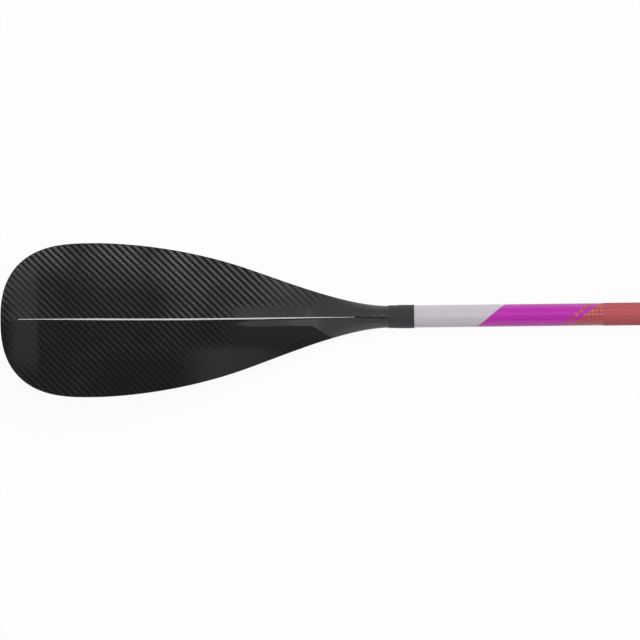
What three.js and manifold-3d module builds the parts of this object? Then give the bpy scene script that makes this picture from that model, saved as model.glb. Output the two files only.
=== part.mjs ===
// A stand-up paddleboard paddle, lying with its blade's back face up: a blade of two moulded carbon
// skins, a fixed shaft of reduced diameter, and a telescoping handle that a cam clamp holds.
// Millimetres. +X runs along the shaft from the blade's tip to the handle, +Y across the blade and
// +Z out of its back face. The origin is on the ground under the middle of the paddle.
import * as THREE from "three";
import { mergeVertices } from "three/addons/utils/BufferGeometryUtils.js";
import Module from "manifold-3d";

const wasm = await Module();
wasm.setup();

// Gaps between pieces
const bondGap = 0.2; // round a glued or shrunk piece
const seatGap = 0.3; // under a piece that rests on its neighbour
const cutOverrun = 2; // how far a cutting shape runs past what it cuts

// Blade seen square on
const bladeLength = 453.4; // tip to shrink sleeve
const bladeWidth = 180.2;
const neckDiameter = 25.2;
const neckLap = 11.2; // length of neck hidden under the sleeve
const widestShare = 0.237;
const tipLengthPower = 2.8;
const tipWidthPower = 2.45;
const shoulderShares = [[0.303, 1], [0.463, 0.951], [0.631, 0.657]]; // along, across
const waistShare = [0.743, 0.461];
const neckEaseShare = 0.895;

// Blade seen from the side
const tipRise = 62;
const straightNeck = 28; // neck in line with the shaft, before the sleeve
const bendShares = [[0.85, 0], [0.35, 0.685]]; // of the bent length and of the rise

// Blade cut across
const skinThickness = 0.95;
const rimThickness = 3.2;
const cupDepth = 3; // how far the rims stand below the middle line
const backCrown = 6; // height of the back face's ridge where the spine starts
const powerCrown = 2.5;
const spineWidth = 18.8;
const spineStartShare = 0.578;
const spineFlareShare = 0.801;
const neckStartShare = 0.855;
const neckFullShare = 0.922;
const cupStartShare = 0.26;
const cupFadeShare = 0.44;
const backTipShares = [[0, 0.32], [0.199, 0.7], [0.419, 0.833], [0.578, 1]];
const powerTipShares = [[0, 0.68], [0.199, 0.76], [0.419, 0.88], [0.578, 1]];
const backWingShares = [[0.65, 1.076], [0.75, 0.87], [0.855, 0.6]];
const powerWingShares = [[0.65, 1.054], [0.75, 1], [0.855, 0.7]];
const backSpineShare = [0.684, 1.111];
const powerSpineShare = [0.684, 1.08];
const spineEaseShare = 0.794;
const coreEndShare = 0.83;

// Rim bead
const railLip = 0.6; // nose that stands outside the skins
const railTongue = 5; // depth held between the skins
const railEndShare = 0.83;
const railNoseShares = [[0, 0.42], [0.42, 0.8], [1, 1]]; // of the lip and of half the rim

// Shaft
const shaftDiameter = 26.1;
const shaftWall = 1.35;
const shaftLength = 1127;
const ferruleWall = 1.4;
const ferruleInNeck = 34;
const ferruleInShaft = 59;
const ferruleChamfer = 0.8;
const sleeveLength = 29.2;
const sleeveWall = 0.45;
const sleeveLip = 0.12;
const sleeveLipLength = 1.6;
const sleeveStep = 1.4; // length over which the sleeve rises onto the shaft
const filmStart = 240; // bare shaft from the joint to the anti-slip film
const filmThickness = 0.22;
const filmGap = 0.08;
const filmToCollar = 6;
const bungLength = 26;
const bungToFerrule = 6;

// Telescoping handle
const handleShown = 110.8; // handle tube between the clamp and the grip, as the paddle lies
const handleTubeDiameter = 22.8;
const handleTubeWall = 1.8;
const handleTubeLength = 640;
const grooveWidth = 3.6;
const grooveDepth = 0.9;
const grooveMargin = 16; // full wall left at the tube's upper end
const plugHeadLength = 14;
const plugStemLength = 22;
const plugGap = 0.1; // round the guide head in the shaft's bore
const ringThickness = 1.6;
const ringSqueezeGap = 0.06;

// Palm grip
const gripLength = 74;
const gripWidth = 110;
const gripThickness = 30;
const gripWall = 1.7;
const gripSocket = 14; // depth that the handle tube enters the grip
const gripBluntPower = 2.4;
const gripInsertLength = 30;
const gripFlangeLength = 9;
const gripPartingGap = 0.2;
// Along, half width and half thickness, of the grip's own sizes, above the round stem
const gripShares = [
  [0.324, 0.252, 0.89], [0.446, 0.345, 0.88], [0.527, 0.582, 0.88], [0.588, 0.836, 0.907],
  [0.676, 0.982, 0.973], [0.77, 1, 1], [0.865, 0.927, 0.907], [0.939, 0.727, 0.72], [0.986, 0.4, 0.433],
  [1, 0, 0],
];

// Clamp
const collarWall = 3.2;
const collarHeadWall = 4;
const collarSocket = 30; // length glued over the shaft
const collarHead = 22; // length that grips the handle tube
const collarLip = 1.6;
const collarChamfer = 2.5;
const slotWidth = 2.4;
const reliefWidth = 1.5;
const reliefHeightShare = 0.25;
const footWidth = 14;
const footHeight = 1.1;
const linerWall = 1.45;
const keyWidth = 3;
const keyTipGap = 0.25;
const earWidth = 16; // along the shaft
const earThickness = 7;
const boltDiameter = 5;
const boltHoleGap = 0.15;
const boltRise = 5.3; // from the collar's wall to the bolt's centre
const boltHeadDiameter = 8.5;
const boltHeadHeight = 5;
const hexKeySize = 4;
const hexKeyDepth = 2.8;
const washerDiameter = 10;
const washerThickness = 1;
const camWasherDiameter = 12.6;
const camWasherThickness = 1.6;

// Lever
const leverWidth = 15;
const leverThickness = 4;
const camRadius = 6.3;
const camOffset = 0.6; // centre of the cam from the pivot
const barrelDiameter = 8;
const barrelGap = 0.15;
const barrelInset = 0.7; // end of the barrel nut inside the lever's side
const boltTipInset = 1;
const leverToCollar = 1;
const leverSweep = 52; // degrees of collar that the arm wraps
const leverStart = 159; // degrees from +Y, where the arm meets the collar's curve
const leverFlare = 2.6;
const leverFlareSweep = 10;
const leverOpening = 150;

// Mesh density
const roundSegments = 32;
const tipStations = 9;
const bladeStations = 17;
const spineCells = 2;
const wingCells = 5;
const gripStations = 19;
const gripCells = 12;
const arcSegments = 10;
const ringSides = 8;
const hexSides = 6;
const curveSteps = 40;
const mergeTolerance = 1e-3;
const tipTaperShare = 0.1; // width at which the round tip is cut flat

// Places along the shaft, from the blade's tip
const shaftStart = bladeLength + neckLap;
const shaftEnd = shaftStart + shaftLength;
const bendStart = bladeLength - straightNeck;
const spineStart = bladeLength * spineStartShare;
const spineFlare = bladeLength * spineFlareShare;
const neckStart = bladeLength * neckStartShare;
const neckFull = bladeLength * neckFullShare;
const railEnd = bladeLength * railEndShare;
const clampAt = shaftEnd + collarHead / 2;
const gripStart = shaftEnd + collarHead + collarLip + handleShown;

const neckRadius = neckDiameter / 2;
const shaftRadius = shaftDiameter / 2;
const shaftBore = shaftRadius - shaftWall;
const handleTubeRadius = handleTubeDiameter / 2;
const handleTubeBore = handleTubeRadius - handleTubeWall;
const partingHalf = bondGap / 2;

const { smoothstep, lerp, degToRad } = THREE.MathUtils;

// Solids

function withoutSlivers(geometry) {
  for (const name of ["normal", "uv"]) geometry.deleteAttribute(name);
  const merged = mergeVertices(geometry, mergeTolerance);
  const kept = [];
  const index = merged.index.array;
  for (let i = 0; i < index.length; i += 3) {
    const [a, b, c] = index.slice(i, i + 3);
    if (a !== b && b !== c && c !== a) kept.push(a, b, c);
  }
  merged.setIndex(kept);
  return merged;
}

function signedVolume(geometry) {
  const position = geometry.attributes.position;
  const index = geometry.index.array;
  const corner = (i) => new THREE.Vector3().fromBufferAttribute(position, index[i]);
  let sum = 0;
  for (let i = 0; i < index.length; i += 3) sum += corner(i).dot(corner(i + 1).cross(corner(i + 2)));
  return sum;
}

function closed(geometry) {
  const merged = withoutSlivers(geometry);
  if (signedVolume(merged) < 0) merged.setIndex([...merged.index.array].reverse());
  return merged;
}

function toSolid(geometry) {
  const merged = closed(geometry);
  return new wasm.Manifold(
    new wasm.Mesh({
      numProp: 3,
      vertProperties: new Float32Array(merged.attributes.position.array),
      triVerts: new Uint32Array(merged.index.array),
    }),
  );
}

function toGeometry(solid) {
  const mesh = solid.getMesh();
  const geometry = new THREE.BufferGeometry();
  geometry.setAttribute("position", new THREE.BufferAttribute(mesh.vertProperties, mesh.numProp));
  geometry.setIndex(new THREE.BufferAttribute(mesh.triVerts, 1));
  return geometry;
}

function fromTriangles(points, faces) {
  const geometry = new THREE.BufferGeometry().setFromPoints(points);
  geometry.setIndex(faces);
  return closed(geometry);
}

// The closed solid between two grids of points that are laid out alike.
function slab(top, bottom) {
  const rows = top.length;
  const columns = top[0].length;
  const above = (i, j) => i * columns + j;
  const below = (i, j) => rows * columns + above(i, j);
  const faces = [];
  const quad = (a, b, c, d) => faces.push(a, b, c, a, c, d);
  for (let i = 0; i < rows - 1; i++) {
    for (let j = 0; j < columns - 1; j++) {
      quad(above(i, j), above(i + 1, j), above(i + 1, j + 1), above(i, j + 1));
      quad(below(i, j), below(i, j + 1), below(i + 1, j + 1), below(i + 1, j));
    }
  }
  for (let i = 0; i < rows - 1; i++) {
    const last = columns - 1;
    quad(below(i, 0), below(i + 1, 0), above(i + 1, 0), above(i, 0));
    quad(below(i + 1, last), below(i, last), above(i, last), above(i + 1, last));
  }
  for (let j = 0; j < columns - 1; j++) {
    const last = rows - 1;
    quad(below(0, j + 1), below(0, j), above(0, j), above(0, j + 1));
    quad(below(last, j), below(last, j + 1), above(last, j + 1), above(last, j));
  }
  return fromTriangles([...top.flat(), ...bottom.flat()], faces);
}

// Rings of points joined end to end, with the end caps cut as the flat section is.
function loft(rings, section) {
  const count = section.length;
  const faces = [];
  for (let i = 0; i < rings.length - 1; i++) {
    for (let j = 0; j < count; j++) {
      const [a, b] = [i * count + j, i * count + ((j + 1) % count)];
      faces.push(a, b, b + count, a, b + count, a + count);
    }
  }
  const last = (rings.length - 1) * count;
  const caps = THREE.ShapeUtils.triangulateShape(section, []);
  if (THREE.ShapeUtils.isClockWise(section)) caps.forEach((corners) => corners.reverse());
  for (const [a, b, c] of caps) faces.push(a, c, b, last + a, last + b, last + c);
  return fromTriangles(rings.flat(), faces);
}

// A turned piece on the X axis, from its closed outline of [place along X, radius].
function turned(outline) {
  const points = [...outline, outline[0]].map(([along, radius]) => new THREE.Vector2(radius, along));
  return closed(new THREE.LatheGeometry(points, roundSegments).rotateZ(-Math.PI / 2));
}

function tube(start, end, outer, inner) {
  return turned([[start, inner], [end, inner], [end, outer], [start, outer]]);
}

function rod(start, end, radius) {
  return turned([[start, 0], [end, 0], [end, radius], [start, radius]]);
}

function block(from, to) {
  const size = to.clone().sub(from);
  const middle = from.clone().add(to).multiplyScalar(0.5);
  return toSolid(new THREE.BoxGeometry(size.x, size.y, size.z).translate(middle.x, middle.y, middle.z));
}

// A rod along Y between two places, centred on the shaft's X = 0 at a height.
function crossRod(from, to, radius, height) {
  const geometry = new THREE.CylinderGeometry(radius, radius, to - from, roundSegments);
  return toSolid(geometry.translate(0, (from + to) / 2, height));
}

// An outline in the plane across the shaft, as wide along X as asked and centred on X = 0.
function acrossShaft(shape, width) {
  const settings = { depth: width, bevelEnabled: false, curveSegments: arcSegments };
  const geometry = new THREE.ExtrudeGeometry(shape, settings);
  const basis = new THREE.Matrix4().makeBasis(
    new THREE.Vector3(0, 1, 0), new THREE.Vector3(0, 0, 1), new THREE.Vector3(1, 0, 0),
  );
  return toSolid(geometry.applyMatrix4(basis).translate(-width / 2, 0, 0));
}

// Curves

// The height at x of a chain of cubic curves, each four [x, height] handles.
function curveAt(chain, x) {
  const handles = chain.find((part) => x <= part[3][0]) ?? chain[chain.length - 1];
  const [p, q, r, s] = handles;
  const cubic = (k, t) =>
    (1 - t) ** 3 * p[k] + 3 * (1 - t) ** 2 * t * q[k] + 3 * (1 - t) * t * t * r[k] + t ** 3 * s[k];
  let [low, high] = [0, 1];
  for (let step = 0; step < curveSteps; step++) {
    const t = (low + high) / 2;
    if (cubic(0, t) < x) low = t;
    else high = t;
  }
  return cubic(1, low);
}

const alongBlade = (shares, height) => shares.map(([along, share]) => [along * bladeLength, share * height]);

// The blade

const widest = bladeLength * widestShare;
const halfBlade = bladeWidth / 2;
const shoulder = alongBlade(shoulderShares, halfBlade);
const outlineChain = [
  [[widest, halfBlade], ...shoulder],
  [
    shoulder[2], alongBlade([waistShare], halfBlade)[0],
    [bladeLength * neckEaseShare, neckRadius], [bladeLength, neckRadius],
  ],
];

function halfWidthAt(x) {
  if (x >= bladeLength) return neckRadius;
  if (x >= widest) return curveAt(outlineChain, x);
  return halfBlade * (1 - (1 - x / widest) ** tipLengthPower) ** (1 / tipWidthPower);
}

const bendHandles = bendShares.map(([along, rise]) => [along * bendStart, rise * tipRise]);
const bendChain = [[[0, tipRise], bendHandles[1], bendHandles[0], [bendStart, 0]]];
const bendAt = (x) => (x >= bendStart ? 0 : curveAt(bendChain, x));

// Heights of one face over the blade's middle surface, along the ridge and along its wings.
function faceCurves(crown, tipShares, wingShares, spineShare) {
  const toSpine = alongBlade(tipShares, crown);
  const start = toSpine[3];
  const risen = [[bladeLength * spineEaseShare, neckRadius], [neckFull, neckRadius]];
  return {
    ridge: [toSpine, [start, alongBlade([spineShare], crown)[0], ...risen]],
    wing: [toSpine, [start, ...alongBlade(wingShares, crown)]],
  };
}

const backFace = faceCurves(backCrown, backTipShares, backWingShares, backSpineShare);
const powerFace = faceCurves(powerCrown, powerTipShares, powerWingShares, powerSpineShare);

function spineHalfWidthAt(x) {
  if (x >= neckStart) return halfWidthAt(x);
  const flare = Math.max(0, (x - spineFlare) / (neckStart - spineFlare));
  return Math.min(lerp(spineWidth / 2, halfWidthAt(neckStart), flare), halfWidthAt(x));
}

const rimHeightAt = (x) => lerp(rimThickness / 2, partingHalf, smoothstep(x, railEnd, neckStart));

function faceHeight(face, x, y) {
  const halfWidth = halfWidthAt(x);
  const spine = spineHalfWidthAt(x);
  const rim = rimHeightAt(x);
  const wing = Math.max(curveAt(face.wing, Math.min(x, neckStart)), rim);
  const wingHeight = (from) => rim + (wing - rim) * (1 - Math.min(from / halfWidth, 1));
  const off = Math.abs(y);
  if (off >= spine) return wingHeight(off);
  const ridge = curveAt(face.ridge, Math.min(x, neckFull));
  const foot = wingHeight(spine);
  const roundness = smoothstep(x, spineStart, bladeLength);
  const across = off / spine;
  return foot + (ridge - foot) * lerp(1 - across, Math.sqrt(1 - across * across), roundness);
}

function middleHeight(x, y) {
  const fade = smoothstep(x, 0, bladeLength * cupStartShare) *
    (1 - smoothstep(x, bladeLength * cupFadeShare, neckStart));
  const halfWidth = halfWidthAt(x);
  return bendAt(x) - cupDepth * fade * (Math.abs(y) < halfWidth ? (y / halfWidth) ** 2 : 1);
}

const backHeight = (x, y) => middleHeight(x, y) + faceHeight(backFace, x, y);
const powerHeight = (x, y) => middleHeight(x, y) - faceHeight(powerFace, x, y);

// Stations along one side of the outline, as [x, half width], from the tip to the end asked for.
function outlineStations(end, stations) {
  const found = [];
  for (let i = 0; i < tipStations; i++) {
    const angle = lerp(Math.asin(tipTaperShare), Math.PI / 2, i / tipStations);
    const width = Math.sin(angle);
    found.push([widest * (1 - (1 - width ** tipWidthPower) ** (1 / tipLengthPower)), halfBlade * width]);
  }
  for (let i = 0; i <= stations; i++) {
    const x = lerp(widest, Math.min(end, bladeLength), i / stations);
    found.push([x, halfWidthAt(x)]);
  }
  if (end > bladeLength) found.push([end, neckRadius]);
  return found;
}

// The outward direction of the outline at a station, in the plane of the blade.
function outwardAt(stations, i) {
  if (i === 0) return [-1, 0];
  const [before, after] = [stations[i - 1], stations[Math.min(i + 1, stations.length - 1)]];
  const run = Math.hypot(after[0] - before[0], after[1] - before[1]);
  return [-(after[1] - before[1]) / run, (after[0] - before[0]) / run];
}

const inset = (stations, depthAt) => stations.map(([x, width], i) => {
  const [outX, outY] = outwardAt(stations, i);
  return [x - depthAt(x) * outX, width - depthAt(x) * outY];
});

// Places across half a skin, as shares of its half width: even in the spine and wing, round in the neck.
function crossShares(x, halfWidth) {
  const spine = Math.min(spineHalfWidthAt(x) / halfWidth, (spineCells + 1) / (spineCells + wingCells));
  const toNeck = smoothstep(x, spineFlare, neckFull);
  const cells = spineCells + wingCells;
  return Array.from({ length: cells + 1 }, (_, j) => {
    const flat = j <= spineCells ? (spine * j) / spineCells : lerp(spine, 1, (j - spineCells) / wingCells);
    return lerp(flat, Math.sin(((Math.PI / 2) * j) / cells), toNeck);
  });
}

const mirrored = (shares) => [...shares.slice(1).map((share) => -share).reverse(), ...shares];

// A section moved into the blade by the skin's thickness, square to itself.
function insideSkin(section, inward) {
  return section.map((point, j) => {
    const before = section[Math.max(j - 1, 0)];
    const after = section[Math.min(j + 1, section.length - 1)];
    const along = after.clone().sub(before).normalize();
    const moved = point.clone();
    moved.y -= skinThickness * inward * -along.z;
    moved.z -= skinThickness * inward * along.y;
    const parting = bendAt(point.x) + inward * partingHalf;
    if (inward * (moved.z - parting) < 0 && point.x > railEnd) moved.z = parting;
    return moved;
  });
}

const skinLipAt = (x) => (railLip + bondGap) * (1 - smoothstep(x, railEnd, neckStart));
const skinStations = inset(outlineStations(shaftStart, bladeStations), skinLipAt);

function skinGrids(heightAt, inward) {
  const outer = skinStations.map(([x, width]) =>
    mirrored(crossShares(x, width)).map((share) => {
      const y = share * width;
      return new THREE.Vector3(x, y, heightAt(x, y));
    }),
  );
  return { outer, inner: outer.map((section) => insideSkin(section, inward)) };
}

const backGrids = skinGrids(backHeight, 1);
const powerGrids = skinGrids(powerHeight, -1);

// Where a list of points crosses a place: the other coordinate there.
function crossing(points, place) {
  const next = points.findIndex(([along], i) => i > 0 && along >= place);
  const [[from, low], [to, high]] = [points[next - 1], points[next]];
  return lerp(low, high, (place - from) / (to - from));
}

function core() {
  const depth = railLip + railTongue + 2 * bondGap;
  const edge = inset(outlineStations(bladeLength, bladeStations), () => depth);
  const end = bladeLength * coreEndShare;
  const rows = skinStations.flatMap(([x], i) => (x > edge[0][0] && x < end ? [i] : []));
  const grid = (inner, inward) =>
    rows.map((i) => {
      const section = inner[i].map((point) => [point.y, point.z]);
      const half = crossing(edge, inner[i][0].x);
      return inner[i].map((point) => {
        const y = Math.max(-half, Math.min(point.y, half));
        return new THREE.Vector3(point.x, y, crossing(section, y) - inward * bondGap);
      });
    });
  return slab(grid(backGrids.inner, 1), grid(powerGrids.inner, -1));
}

function edgeRail() {
  const half = rimThickness / 2;
  const tongueHalf = half - skinThickness - bondGap;
  const nose = railNoseShares.map(([depth, height]) => [depth * railLip, height * half]);
  const tongue = [[railLip, tongueHalf], [railLip + railTongue, tongueHalf]];
  const upper = [...nose, ...tongue];
  const section = [...upper, ...upper.map(([depth, height]) => [depth, -height]).reverse()];
  const side = outlineStations(bladeLength, bladeStations);
  const ringAt = (x, width, [outX, outY], hand) => {
    const rim = Math.min(1, rimHeightAt(x) / half);
    return section.map(([depth, height]) => {
      const [along, across] = [x - depth * outX, width - depth * outY];
      return new THREE.Vector3(along, hand * across, middleHeight(along, across) + height * rim);
    });
  };
  const ringsOn = (hand) =>
    side.flatMap(([x, width], i) => (x < railEnd ? [ringAt(x, width, outwardAt(side, i), hand)] : []));
  const rings = [...ringsOn(-1).reverse(), ringAt(0, 0, [-1, 0], 1), ...ringsOn(1)];
  return loft(rings, section.map(([depth, height]) => new THREE.Vector2(depth, height)));
}

// The joint between blade and shaft

function ferrule() {
  const outer = neckRadius - skinThickness - bondGap;
  const inner = outer - ferruleWall;
  const [start, end] = [shaftStart - ferruleInNeck, shaftStart + ferruleInShaft];
  return turned([
    [start, inner], [end, inner], [end, outer - ferruleChamfer], [end - ferruleChamfer, outer],
    [start + ferruleChamfer, outer], [start, outer - ferruleChamfer],
  ]);
}

function shrinkSleeve() {
  const [start, end] = [bladeLength, bladeLength + sleeveLength];
  const overNeck = neckRadius + bondGap / 2;
  const overShaft = shaftRadius + bondGap / 2;
  const step = shaftStart - sleeveStep;
  return turned([
    [start, overNeck], [step, overNeck], [shaftStart - seatGap / 2, overShaft], [end, overShaft],
    [end, overShaft + sleeveWall + sleeveLip], [end - sleeveLipLength, overShaft + sleeveWall + sleeveLip],
    [end - sleeveLipLength - sleeveLip, overShaft + sleeveWall], [shaftStart, overShaft + sleeveWall],
    [step - sleeveStep, overNeck + sleeveWall], [start, overNeck + sleeveWall],
  ]);
}

// The fixed shaft

const mainShaft = () => tube(shaftStart + seatGap, shaftEnd, shaftRadius, shaftBore);

function antiSlipFilm() {
  const inner = shaftRadius + filmGap;
  const end = shaftEnd - collarSocket - filmToCollar;
  return tube(shaftStart + filmStart, end, inner + filmThickness, inner);
}

function shaftBung() {
  const start = shaftStart + ferruleInShaft + bungToFerrule;
  return rod(start, start + bungLength, shaftBore - bondGap);
}

// The telescoping handle, placed from the lower rim of the grip

function handleTube() {
  const start = gripSocket - handleTubeLength;
  const bare = toSolid(tube(start, gripSocket, handleTubeRadius, handleTubeBore));
  const floor = handleTubeRadius - grooveDepth;
  const groove = block(
    new THREE.Vector3(start - cutOverrun, -grooveWidth / 2, -handleTubeRadius - cutOverrun),
    new THREE.Vector3(gripSocket - grooveMargin, grooveWidth / 2, -floor),
  );
  return toGeometry(bare.subtract(groove));
}

const ringGrooveWidth = ringThickness + 2 * bondGap;
const ringOuter = shaftBore - ringSqueezeGap;

function tubePlug() {
  const start = gripSocket - handleTubeLength - seatGap;
  const stem = handleTubeBore - bondGap;
  const head = shaftBore - plugGap;
  const grooveFloor = ringOuter - ringThickness - bondGap / 2;
  const middle = start - plugHeadLength / 2;
  const [low, high] = [middle - ringGrooveWidth / 2, middle + ringGrooveWidth / 2];
  return turned([
    [start - plugHeadLength, 0], [start + plugStemLength, 0], [start + plugStemLength, stem],
    [start, stem], [start, head], [high, head], [high, grooveFloor], [low, grooveFloor], [low, head],
    [start - plugHeadLength + ferruleChamfer, head], [start - plugHeadLength, head - ferruleChamfer],
  ]);
}

function plugRing() {
  const middle = gripSocket - handleTubeLength - seatGap - plugHeadLength / 2;
  const half = ringThickness / 2;
  const outline = Array.from({ length: ringSides }, (_, i) => {
    const angle = (2 * Math.PI * i) / ringSides;
    return [middle + half * Math.cos(angle), ringOuter - half + half * Math.sin(angle)];
  });
  return turned(outline);
}

// The grip's sections as [along, half width, half thickness]: a round stem that spreads into a palm bar.
const stemRadius = handleTubeRadius + bondGap + gripWall;
const gripCurve = new THREE.CatmullRomCurve3(
  [
    [0, stemRadius, stemRadius], [gripSocket, stemRadius, stemRadius],
    ...gripShares.map(([along, width, thickness]) => [
      along * gripLength, (width * gripWidth) / 2, (thickness * gripThickness) / 2,
    ]),
  ].map((values) => new THREE.Vector3(...values)),
  false, "catmullrom",
);

function gripSection(t, wall) {
  const at = gripCurve.getPoint(t);
  const tangent = gripCurve.getTangent(t);
  const run = Math.hypot(tangent.x, tangent.y);
  const thinner = 1 - wall / (gripThickness / 2);
  const stemPlay = lerp(stemRadius - wall, stemRadius * thinner, t) / (stemRadius * thinner);
  return {
    along: at.x + (wall * tangent.y) / run,
    width: Math.max(0, at.y - (wall * tangent.x) / run),
    thickness: at.z * thinner * stemPlay,
  };
}

function gripShell(side) {
  const grid = (wall) =>
    Array.from({ length: gripStations + 1 }, (_, i) => {
      const section = gripSection(i / gripStations, wall);
      const spread = smoothstep(section.width, stemRadius, gripWidth / 2);
      const power = 2 / lerp(2, gripBluntPower, spread);
      return Array.from({ length: gripCells + 1 }, (_, j) => {
        const angle = (Math.PI * j) / gripCells;
        const across = Math.abs(Math.cos(angle)) ** power * Math.sign(Math.cos(angle));
        const up = Math.abs(Math.sin(angle)) ** power * section.thickness;
        return new THREE.Vector3(
          section.along, across * section.width, side * Math.max(up, gripPartingGap / 2),
        );
      });
    });
  return slab(grid(0), grid(gripWall));
}

function gripInsert() {
  const stem = handleTubeBore - bondGap;
  const shoulderAt = gripSocket + seatGap;
  const end = shoulderAt + gripFlangeLength;
  return turned([
    [shoulderAt - gripInsertLength, 0], [end, 0], [end, handleTubeRadius - ferruleChamfer],
    [end - ferruleChamfer, handleTubeRadius], [shoulderAt, handleTubeRadius], [shoulderAt, stem],
    [shoulderAt - gripInsertLength, stem],
  ]);
}

// The clamp, placed from the middle of its head, which is where the bolt crosses

const collarBore = shaftRadius + bondGap;
const headStart = -collarHead / 2;
const headEnd = collarHead / 2;
const collarRadius = collarBore + collarWall;
const headRadius = collarBore + collarHeadWall;
const boltHeight = headRadius + boltRise;
const earFace = slotWidth / 2 + earThickness;
const linerStart = headStart + seatGap;
const linerEnd = headEnd - seatGap;
const linerOuter = collarBore - bondGap;
const camFace = earFace + bondGap + camWasherThickness + seatGap;
const pivotAt = -(camFace + camRadius + camOffset);

function clampCollar() {
  const low = headStart - collarSocket;
  const lipEnd = headEnd + collarLip;
  const lipBore = (handleTubeRadius + collarBore) / 2;
  const body = toSolid(turned([
    [low, collarBore], [headEnd, collarBore], [headEnd, lipBore], [lipEnd, lipBore],
    [lipEnd, headRadius - collarLip], [headEnd, headRadius], [headStart - collarLip, headRadius],
    [headStart - 2 * collarLip, collarRadius], [low + collarChamfer, collarRadius],
    [low, collarRadius - collarChamfer],
  ]));
  const bore = toSolid(rod(low - cutOverrun, headEnd, collarBore));
  const foot = block(
    new THREE.Vector3(low + collarChamfer, -footWidth / 2, -headRadius - footHeight),
    new THREE.Vector3(headEnd, footWidth / 2, -collarBore),
  );
  const ears = new THREE.Shape();
  const half = earWidth / 2;
  ears.moveTo(-half, collarBore);
  ears.lineTo(-half, boltHeight);
  ears.absarc(0, boltHeight, half, Math.PI, 0, true);
  ears.lineTo(half, collarBore);
  const earSettings = { depth: 2 * earFace, bevelEnabled: false, curveSegments: arcSegments };
  const earBlock = toSolid(
    new THREE.ExtrudeGeometry(ears, earSettings).rotateX(Math.PI / 2).translate(0, earFace, 0),
  );
  const top = boltHeight + earWidth;
  const slot = block(
    new THREE.Vector3(headStart + reliefWidth, -slotWidth / 2, 0),
    new THREE.Vector3(lipEnd + cutOverrun, slotWidth / 2, top),
  );
  const relief = block(
    new THREE.Vector3(headStart + seatGap, -top, collarBore * reliefHeightShare),
    new THREE.Vector3(headStart + seatGap + reliefWidth, top, top),
  );
  const hole = crossRod(-earFace - cutOverrun, earFace + cutOverrun, boltDiameter / 2 + boltHoleGap, boltHeight);
  return toGeometry(
    body.add(earBlock).add(foot).subtract(bore).subtract(slot).subtract(relief).subtract(hole),
  );
}

function clampLiner() {
  const inner = linerOuter - linerWall;
  const ring = toSolid(tube(linerStart, linerEnd, linerOuter, inner));
  const tip = handleTubeRadius - grooveDepth + keyTipGap;
  const key = block(
    new THREE.Vector3(linerStart, -keyWidth / 2, -inner - linerWall / 2),
    new THREE.Vector3(linerEnd, keyWidth / 2, -tip),
  );
  const slit = block(
    new THREE.Vector3(linerStart - cutOverrun, -slotWidth / 2, 0),
    new THREE.Vector3(linerEnd + cutOverrun, slotWidth / 2, collarBore),
  );
  return toGeometry(ring.add(key).subtract(slit));
}

function clampBolt() {
  const seat = earFace + bondGap + washerThickness + bondGap;
  const head = crossRod(seat, seat + boltHeadHeight, boltHeadDiameter / 2, boltHeight);
  const tipAt = pivotAt - barrelDiameter / 2 + boltTipInset;
  const shank = crossRod(tipAt, seat + bondGap, boltDiameter / 2, boltHeight);
  const hexRadius = hexKeySize / Math.sqrt(3);
  const drive = new THREE.CylinderGeometry(hexRadius, hexRadius, hexKeyDepth + cutOverrun, hexSides);
  const driveAt = seat + boltHeadHeight - hexKeyDepth / 2 + cutOverrun / 2;
  return toGeometry(head.add(shank).subtract(toSolid(drive.translate(0, driveAt, boltHeight))));
}

function washer(from, thickness, diameter) {
  const hole = boltDiameter / 2 + boltHoleGap;
  const disc = crossRod(from, from + thickness, diameter / 2, boltHeight);
  const bore = crossRod(from - cutOverrun, from + thickness + cutOverrun, hole, boltHeight);
  return toGeometry(disc.subtract(bore));
}

// The lever and its barrel nut, placed from the pivot

function pivotRod(length, radius) {
  const geometry = new THREE.CylinderGeometry(radius, radius, length, roundSegments);
  return toSolid(geometry.rotateZ(Math.PI / 2));
}

function barrelNut() {
  const nut = pivotRod(leverWidth - 2 * barrelInset, barrelDiameter / 2);
  const hole = crossRod(-barrelDiameter, barrelDiameter, boltDiameter / 2 + boltHoleGap, 0);
  return toGeometry(nut.subtract(hole));
}

function camLever() {
  const inner = headRadius + leverToCollar;
  const outer = inner + leverThickness;
  const start = degToRad(leverStart);
  const end = degToRad(leverStart + leverSweep);
  const tip = end + degToRad(leverFlareSweep);
  const onArc = (radius, angle) => [radius * Math.cos(angle) - pivotAt, radius * Math.sin(angle) - boltHeight];
  const arm = new THREE.Shape();
  arm.moveTo(-camRadius + camOffset, 0);
  arm.lineTo(...onArc(outer, start));
  arm.absarc(-pivotAt, -boltHeight, outer, start, end, false);
  arm.lineTo(...onArc(outer + leverFlare, tip));
  arm.lineTo(...onArc(outer + leverFlare - leverThickness / 2, tip));
  arm.lineTo(...onArc(inner, end));
  arm.absarc(-pivotAt, -boltHeight, inner, end, start, true);
  arm.lineTo(camRadius / 2, -camRadius / 2);
  const camDisc = new THREE.Shape();
  camDisc.absarc(camOffset, 0, camRadius, 0, 2 * Math.PI, false);
  const reach = 2 * camRadius;
  const opening = degToRad(leverOpening);
  const sweep = new THREE.Shape();
  sweep.moveTo(0, 0);
  sweep.absarc(0, 0, reach, 0, opening, false);
  const slotWide = boltDiameter + 2 * boltHoleGap;
  const slotEnd = (angle) =>
    toSolid(new THREE.BoxGeometry(slotWide, reach, slotWide).translate(0, reach / 2, 0).rotateX(angle));
  const slot = acrossShaft(sweep, slotWide).add(slotEnd(0)).add(slotEnd(opening));
  const body = acrossShaft(arm, leverWidth).add(acrossShaft(camDisc, leverWidth));
  const pivotHole = pivotRod(leverWidth + 2 * cutOverrun, barrelDiameter / 2 + barrelGap);
  return toGeometry(body.subtract(pivotHole).subtract(slot));
}

// Finishes

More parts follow.
